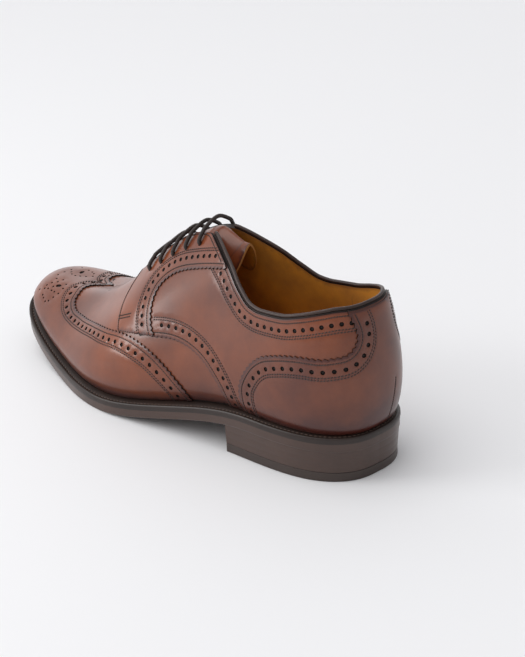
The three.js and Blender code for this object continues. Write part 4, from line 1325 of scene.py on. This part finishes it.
class Bottom:
    """Everything under the upper."""

    LEDGE = {
        Side.LATERAL: Curve((
            (0, 0.639), (2, 0.847), (4, 1.056), (5.5, 1.361), (7, 1.194), (9, 1.0), (13, 0.972))),
        Side.MEDIAL: Curve((
            (0, 0.639), (2, 0.778), (4, 0.861), (5.5, 0.972), (7, 1.0), (9, 1.0), (13, 0.972))),
    }

    def __init__(self, last: Last, shop: Workshop, columns: int = 360) -> None:
        """Keep the last and the workshop, and find the part's place in the frame."""
        self.last, self.shop, self.size = last, shop, BottomSizes()
        self.around = np.arange(columns) * TURN / columns
        coarse = np.arange(60) * TURN / 60
        own = self.last.rim(coarse, self.ledge(coarse), 0.0) / MM
        low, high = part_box("outsole")
        middle = (np.array(low) + np.array(high)) / 2 / MM
        last.shift = np.array([*(middle[:2] - (own.min(0) + own.max(0))[:2] / 2), 0.0])
        log.info("part shift %s", last.shift.round(3))

    def ledge(self, around: Array) -> Array:
        """Return how far the sole stands out of the last's edge."""
        turned = around % TURN
        station = np.minimum(turned, TURN - turned)
        share = np.where(turned < TOE, self.LEDGE[Side.LATERAL](station), self.LEDGE[Side.MEDIAL](station))
        return share * self.size.ledge

    def build(self) -> dict[str, bpy.types.Object]:
        """Build the five pieces."""
        return {
            "outsole": self.outsole(),
            "welt": self.welt(),
            "insole": self.insole(),
            "heel_stack": self.heel_stack(),
            "heel_top_piece": self.heel_top_piece(),
        }

    def hoops(self, around: Array, rings: list[tuple[Array | float, Array | float]]) -> Array:
        """Return rings of points, each outside the last's edge and above the sole's lower height."""
        return np.vstack([self.last.rim(around, out, lift) for out, lift in rings])

    def solid(self, name: str, points: Array, count: int, finish: Finish, closed: bool = False) -> bpy.types.Object:
        """Join rings into a solid, capped or closed on itself, and crisp at its corners."""
        rings = len(points) // count
        faces = []
        for k in range(rings if closed else rings - 1):
            low, high = k * count, (k + 1) % rings * count
            for i in range(count):
                j = (i + 1) % count
                faces.append((low + i, high + i, high + j, low + j))
        if not closed:
            top = (rings - 1) * count
            for left in range((count + 1) // 2):
                right, right_next = (count - left) % count, count - left - 1
                if left + 1 > right_next:
                    break
                corners = [left, left + 1, right_next, right]
                corners = list(dict.fromkeys(corners))
                if len(corners) > 2:
                    faces.append(tuple(corners))
                    faces.append(tuple(top + c for c in reversed(corners)))
        item = self.shop.mesh(name, points, faces, [finish])
        item.data.set_sharp_from_angle(angle=math.radians(40))
        return item

    def outsole(self) -> bpy.types.Object:
        """Build the outsole with a rounded lower edge."""
        s, out = self.size, self.ledge(self.around)
        r = s.edge_round
        rings = [(out - r, 0.0), (out - 0.35 * r, 0.12 * r), (out - 0.1 * r, 0.45 * r), (out, r),
                 (out, s.outsole)]
        return self.solid("outsole", self.hoops(self.around, rings), len(self.around), SOLE)

    def welt(self) -> bpy.types.Object:
        """Build the welt with a channel for its stitches."""
        s, out = self.size, self.ledge(self.around)
        low, high = s.outsole, s.outsole + s.gap + s.welt
        rings = [
            (-s.overlap, low), (out, low), (out + 0.05, low + 0.25), (out + 0.3, (low + high) / 2),
            (out + 0.2, high - 0.7), (out - 0.1, high - 0.15), (out - 0.4, high), (out - 1.7, high),
            (out - 2.3, high - 0.35), (out - 2.9, high), (-s.overlap, high)]
        return self.solid("welt", self.hoops(self.around, rings), len(self.around), WELT, closed=True)

    def insole(self) -> bpy.types.Object:
        """Build the insole, filling the welt's hoop and then the upper."""
        s, lift = self.size, self.last.sizes.feather_lift
        bed, rim = -s.overlap - s.gap, -2.3
        rings = [(bed, s.outsole + s.gap), (bed, lift), (rim, lift), (rim, lift + s.insole - 0.5),
                 (rim - 0.8, lift + s.insole)]
        return self.solid("insole", self.hoops(self.around, rings), len(self.around), LINING)

    def heel_outline(self, columns: int = 90) -> Array:
        """Return arounds from the heel's back to its breast on both sides."""
        def edge(around: float) -> float:
            at = np.array([around])
            return float(self.last.rim(at, self.ledge(at), 0.0)[0, 1]) / MM

        ends = []
        for sign in (1, -1):
            low, high = 0.0, TOE / 2
            for _ in range(24):
                middle = (low + high) / 2
                if edge(sign * middle) < edge(0) + self.size.heel_length:
                    low = middle
                else:
                    high = middle
            ends.append(low)
        share = np.arange(1, columns + 1) / columns
        return np.r_[0, share * ends[0], TURN - share[::-1] * ends[1]]

    def levels(self, around: Array, rings: list[tuple[Array, Array | float]]) -> Array:
        """Return rings of points at heights over the floor."""
        rows = []
        for out, height in rings:
            row = self.last.rim(around, out, 0.0)
            row[:, 2] = np.broadcast_to(height, len(row)) * MM
            rows.append(row)
        return np.vstack(rows)

    def heel_stack(self) -> bpy.types.Object:
        """Build the heel of stacked lifts."""
        s, around = self.size, self.heel_outline()
        out = self.ledge(around)
        low = s.top_piece + 0.05
        top_row = self.last.rim(around, out - s.edge_round / 2, 0.4)
        high = top_row[:, 2] / MM
        shares = [(k + share) / s.lifts for k in range(s.lifts) for share in (0.06, 0.5, 0.94, 1.0)][:-1]
        rings = []
        for number, t in enumerate(shares):
            taper = out - s.edge_round - s.heel_taper + (s.edge_round / 2 + s.heel_taper) * t
            rings.append((taper - (s.lift_line if number % 4 == 3 else 0.0), low + (high - low) * t))
        return self.solid("heel_stack", self.levels(around, rings), len(around), SOLE)

    def heel_top_piece(self) -> bpy.types.Object:
        """Build the heel's rubber top piece."""
        s, around = self.size, self.heel_outline()
        out = self.ledge(around) - s.edge_round - s.heel_taper
        rings = [(out - 0.5, 0.0), (out - 0.1, 0.3), (out, 0.8), (out, s.top_piece - 0.1), (out - 0.1, s.top_piece)]
        return self.solid("heel_top_piece", self.levels(around, rings), len(around), RUBBER)


class Sewing:
    """Threads, painted shade discs in the holes, collar bead and welt stitches."""

    def __init__(self, upper: Upper, bottom: Bottom, shop: Workshop) -> None:
        """Keep what is sewn."""
        self.upper, self.bottom, self.shop = upper, bottom, shop

    def threads(self) -> bpy.types.Object:
        """Set a stitch along every seam of the leather."""
        points, along, normals = (np.vstack(rows) for rows in zip(*self.upper.threads))
        return self.shop.scatter(
            "leather_stitches", self.shop.stitch_tree, points, along, normals, (1.5, 0.72, 0.5), THREAD)

    def painted_shade_discs(self) -> bpy.types.Object:
        """Set a near-black disc of painted shade in every punched hole."""
        places = np.vstack([place for place, _ in self.upper.shade_discs])
        out = np.array([low for _, low in self.upper.shade_discs])
        along, _ = self.upper.last.slopes(places)
        return self.shop.scatter(
            "painted_shade_discs", self.shop.shade_disc_tree, self.upper.last.place(places, out), unit(along),
            self.upper.last.outward(places), (2.9, 2.9, 0.6), HOLE_SHADE)

    def bead(self, diameter: float = 2.2, lift: float = 1.1) -> bpy.types.Object:
        """Build the bead on the collar's edge."""
        end = COLLAR_FRONT - 0.05
        around = np.linspace(-end, end, 260)

        def at(offset: float) -> Array:
            """Return points of the collar's edge near each around."""
            station = around + offset
            return self.upper.last.place(np.c_[station, COLLAR(np.abs(station))], -0.7)

        tangent = unit(at(NUDGE) - at(-NUDGE))
        normal = self.upper.last.outward(np.c_[around, COLLAR(np.abs(around))])
        rise = unit(np.cross(tangent, normal))
        rise *= np.sign(rise[:, 2:3])
        return self.shop.tube("collar_bead", at(0.0) + rise * lift * MM, diameter / 2, TRIM, 10)

    def welt_stitches(self, pitch: float = 2.7) -> bpy.types.Object:
        """Set the stitches in the welt's channel."""
        bottom = self.bottom
        around = np.linspace(0, TURN, 1201)
        size = bottom.size
        lift = size.outsole + size.gap + size.welt - 0.15
        line = bottom.last.rim(around, bottom.ledge(around) - 2.3, lift)
        at = np.r_[0, np.cumsum(np.linalg.norm(np.diff(line, axis=0), axis=1))]
        want = np.arange(0, at[-1], pitch * MM)
        points = np.c_[tuple(np.interp(want, at, line[:, k]) for k in range(3))]
        along = unit(np.gradient(points, axis=0))
        up = np.tile([0.0, 0.0, 1.0], (len(points), 1))
        return self.shop.scatter(
            "welt_stitches", self.shop.stitch_tree, points, along, up, (2.1, 0.9, 0.75), WELT_THREAD)


class Studio:
    """Pale floor, soft light and the photo's camera."""

    def __init__(self) -> None:
        """Build the floor, the light and the camera."""
        self.floor()
        self.light()
        self.camera()

    def floor(self, half: float = 6.0) -> None:
        """Lay a pale floor without an edge in view."""
        mesh = bpy.data.meshes.new("floor")
        mesh.from_pydata([(-half, -half, 0), (half, -half, 0), (half, half, 0), (-half, half, 0)], [], [(0, 1, 2, 3)])
        floor = bpy.data.objects.new("floor", mesh)
        bpy.context.scene.collection.objects.link(floor)
        material = bpy.data.materials.new("floor_paint")
        material.use_nodes = True
        base = material.node_tree.nodes["Principled BSDF"]
        base.inputs["Base Color"].default_value = (0.90, 0.90, 0.91, 1)
        base.inputs["Roughness"].default_value = 0.9
        base.inputs["Specular IOR Level"].default_value = 0.1
        mesh.materials.append(material)

    def light(self) -> None:
        """Set a room that is bright ahead of the toe, a broad soft sun and a window."""
        world = bpy.data.worlds.new("studio")
        bpy.context.scene.world = world
        world.use_nodes = True
        tree = world.node_tree
        way = node(tree, "ShaderNodeTexCoord").outputs["Generated"]
        ahead = node(tree, "ShaderNodeVectorMath", {0: way, 1: (0.45, 0.88, 0.10)}, operation="DOT_PRODUCT")
        level = node(tree, "ShaderNodeMapRange", {
            "From Min": 0.4, "From Max": 1.0, "To Min": 0.50, "To Max": 1.35,
            "Value": ahead.outputs["Value"]}, interpolation_type="SMOOTHSTEP")
        seen = node(tree, "ShaderNodeLightPath").outputs["Is Camera Ray"]
        pale = node(tree, "ShaderNodeMix", {0: seen, 2: level.outputs[0], 3: 0.9})
        sky = tree.nodes["Background"]
        sky.inputs["Color"].default_value = (0.98, 0.98, 1.0, 1)
        tree.links.new(pale.outputs[0], sky.inputs["Strength"])
        sun = bpy.data.lights.new("sun", "SUN")
        sun.angle, sun.energy = math.radians(50), 0.98
        self.lamp("sun", sun, (-0.5, 0.35, 1.6))
        window = bpy.data.lights.new("window", "AREA")
        window.size, window.energy = 0.55, 6.5
        self.lamp("window", window, (-0.95, 0.80, 0.55))

    @staticmethod
    def lamp(name: str, data: bpy.types.Light, place: tuple[float, float, float]) -> None:
        """Hang a lamp that points at the shoe."""
        item = bpy.data.objects.new(name, data)
        item.location = place
        item.rotation_euler = (-Vector(place)).to_track_quat("-Z", "Y").to_euler()
        bpy.context.scene.collection.objects.link(item)

    def camera(self, turn: float = -43.7247, tilt: float = 24.0372, roll: float = -1.6072,
               distance: float = 1108.2365, offset: tuple[float, float] = (40.8359, 11.7771)) -> None:
        """Set the camera where the photo was taken from.

        Args:
            turn: Degrees about the vertical.
            tilt: Degrees over the floor.
            roll: Degrees about the line of sight.
            distance: Millimetres from the point looked at.
            offset: Millimetres to the right of it and above it.
        """
        a, e, r = map(math.radians, (turn, tilt, roll))
        back = np.array([math.sin(a) * math.cos(e), -math.cos(a) * math.cos(e), math.sin(e)])
        right = np.array([math.cos(a), math.sin(a), 0.0])
        up = np.cross(back, right)
        across = right * math.cos(r) + up * math.sin(r)
        over = -right * math.sin(r) + up * math.cos(r)
        at = np.array([2.714, 3.893, 30.0]) + back * distance + across * offset[0] + over * offset[1]
        camera = bpy.data.cameras.new("camera")
        camera.lens = 99.95
        camera.clip_end = 50
        item = bpy.data.objects.new("camera", camera)
        bpy.context.scene.collection.objects.link(item)
        item.matrix_world = Matrix([[*row] for row in np.c_[across, over, back, at * MM]] + [[0, 0, 0, 1]])
        bpy.context.scene.camera = item
        bpy.context.scene.view_settings.view_transform = "Standard"


CREASES = (
    Crease((-40, 178, 22), (-14, 205, 48), 9.0, 0.6),
)
REPLACED = {
    "lining": ("upper",), "vamp": ("upper",), "quarters": ("upper",), "wing_cap": ("wing_cap",),
    "counter": ("counter",), "facing_lateral": ("facing_lateral",), "facing_medial": ("facing_medial",),
    "tongue": ("tongue",), "collar_bead": ("collar_bead",), "outsole": ("outsole",), "welt": ("welt",),
    "insole": ("insole",), "heel_stack": ("heel_stack",), "heel_top_piece": ("heel_top_piece",),
}


def main() -> None:
    """Build the shoe and its studio."""
    logging.basicConfig(level=logging.INFO, format="%(message)s")
    shop = Workshop(Paint())
    last = Last(creases=CREASES)
    bottom = Bottom(last, shop)
    pieces = bottom.build()
    upper = Upper(last, shop)
    upper.build()
    pieces.update(upper.made)
    sewing = Sewing(upper, bottom, shop)
    pieces["collar_bead"] = sewing.bead()
    pieces["leather_stitches"] = sewing.threads()
    pieces["painted_shade_discs"] = sewing.painted_shade_discs()
    pieces["welt_stitches"] = sewing.welt_stitches()
    pieces.update(Laces(last, shop).build())
    for name, piece in pieces.items():
        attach(piece, "root")
        nodes = REPLACED.get(name, (name,) if name.startswith("lace_bar") else ())
        if nodes:
            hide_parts(*nodes)
    Studio()


if __name__ == "__main__":
    main()
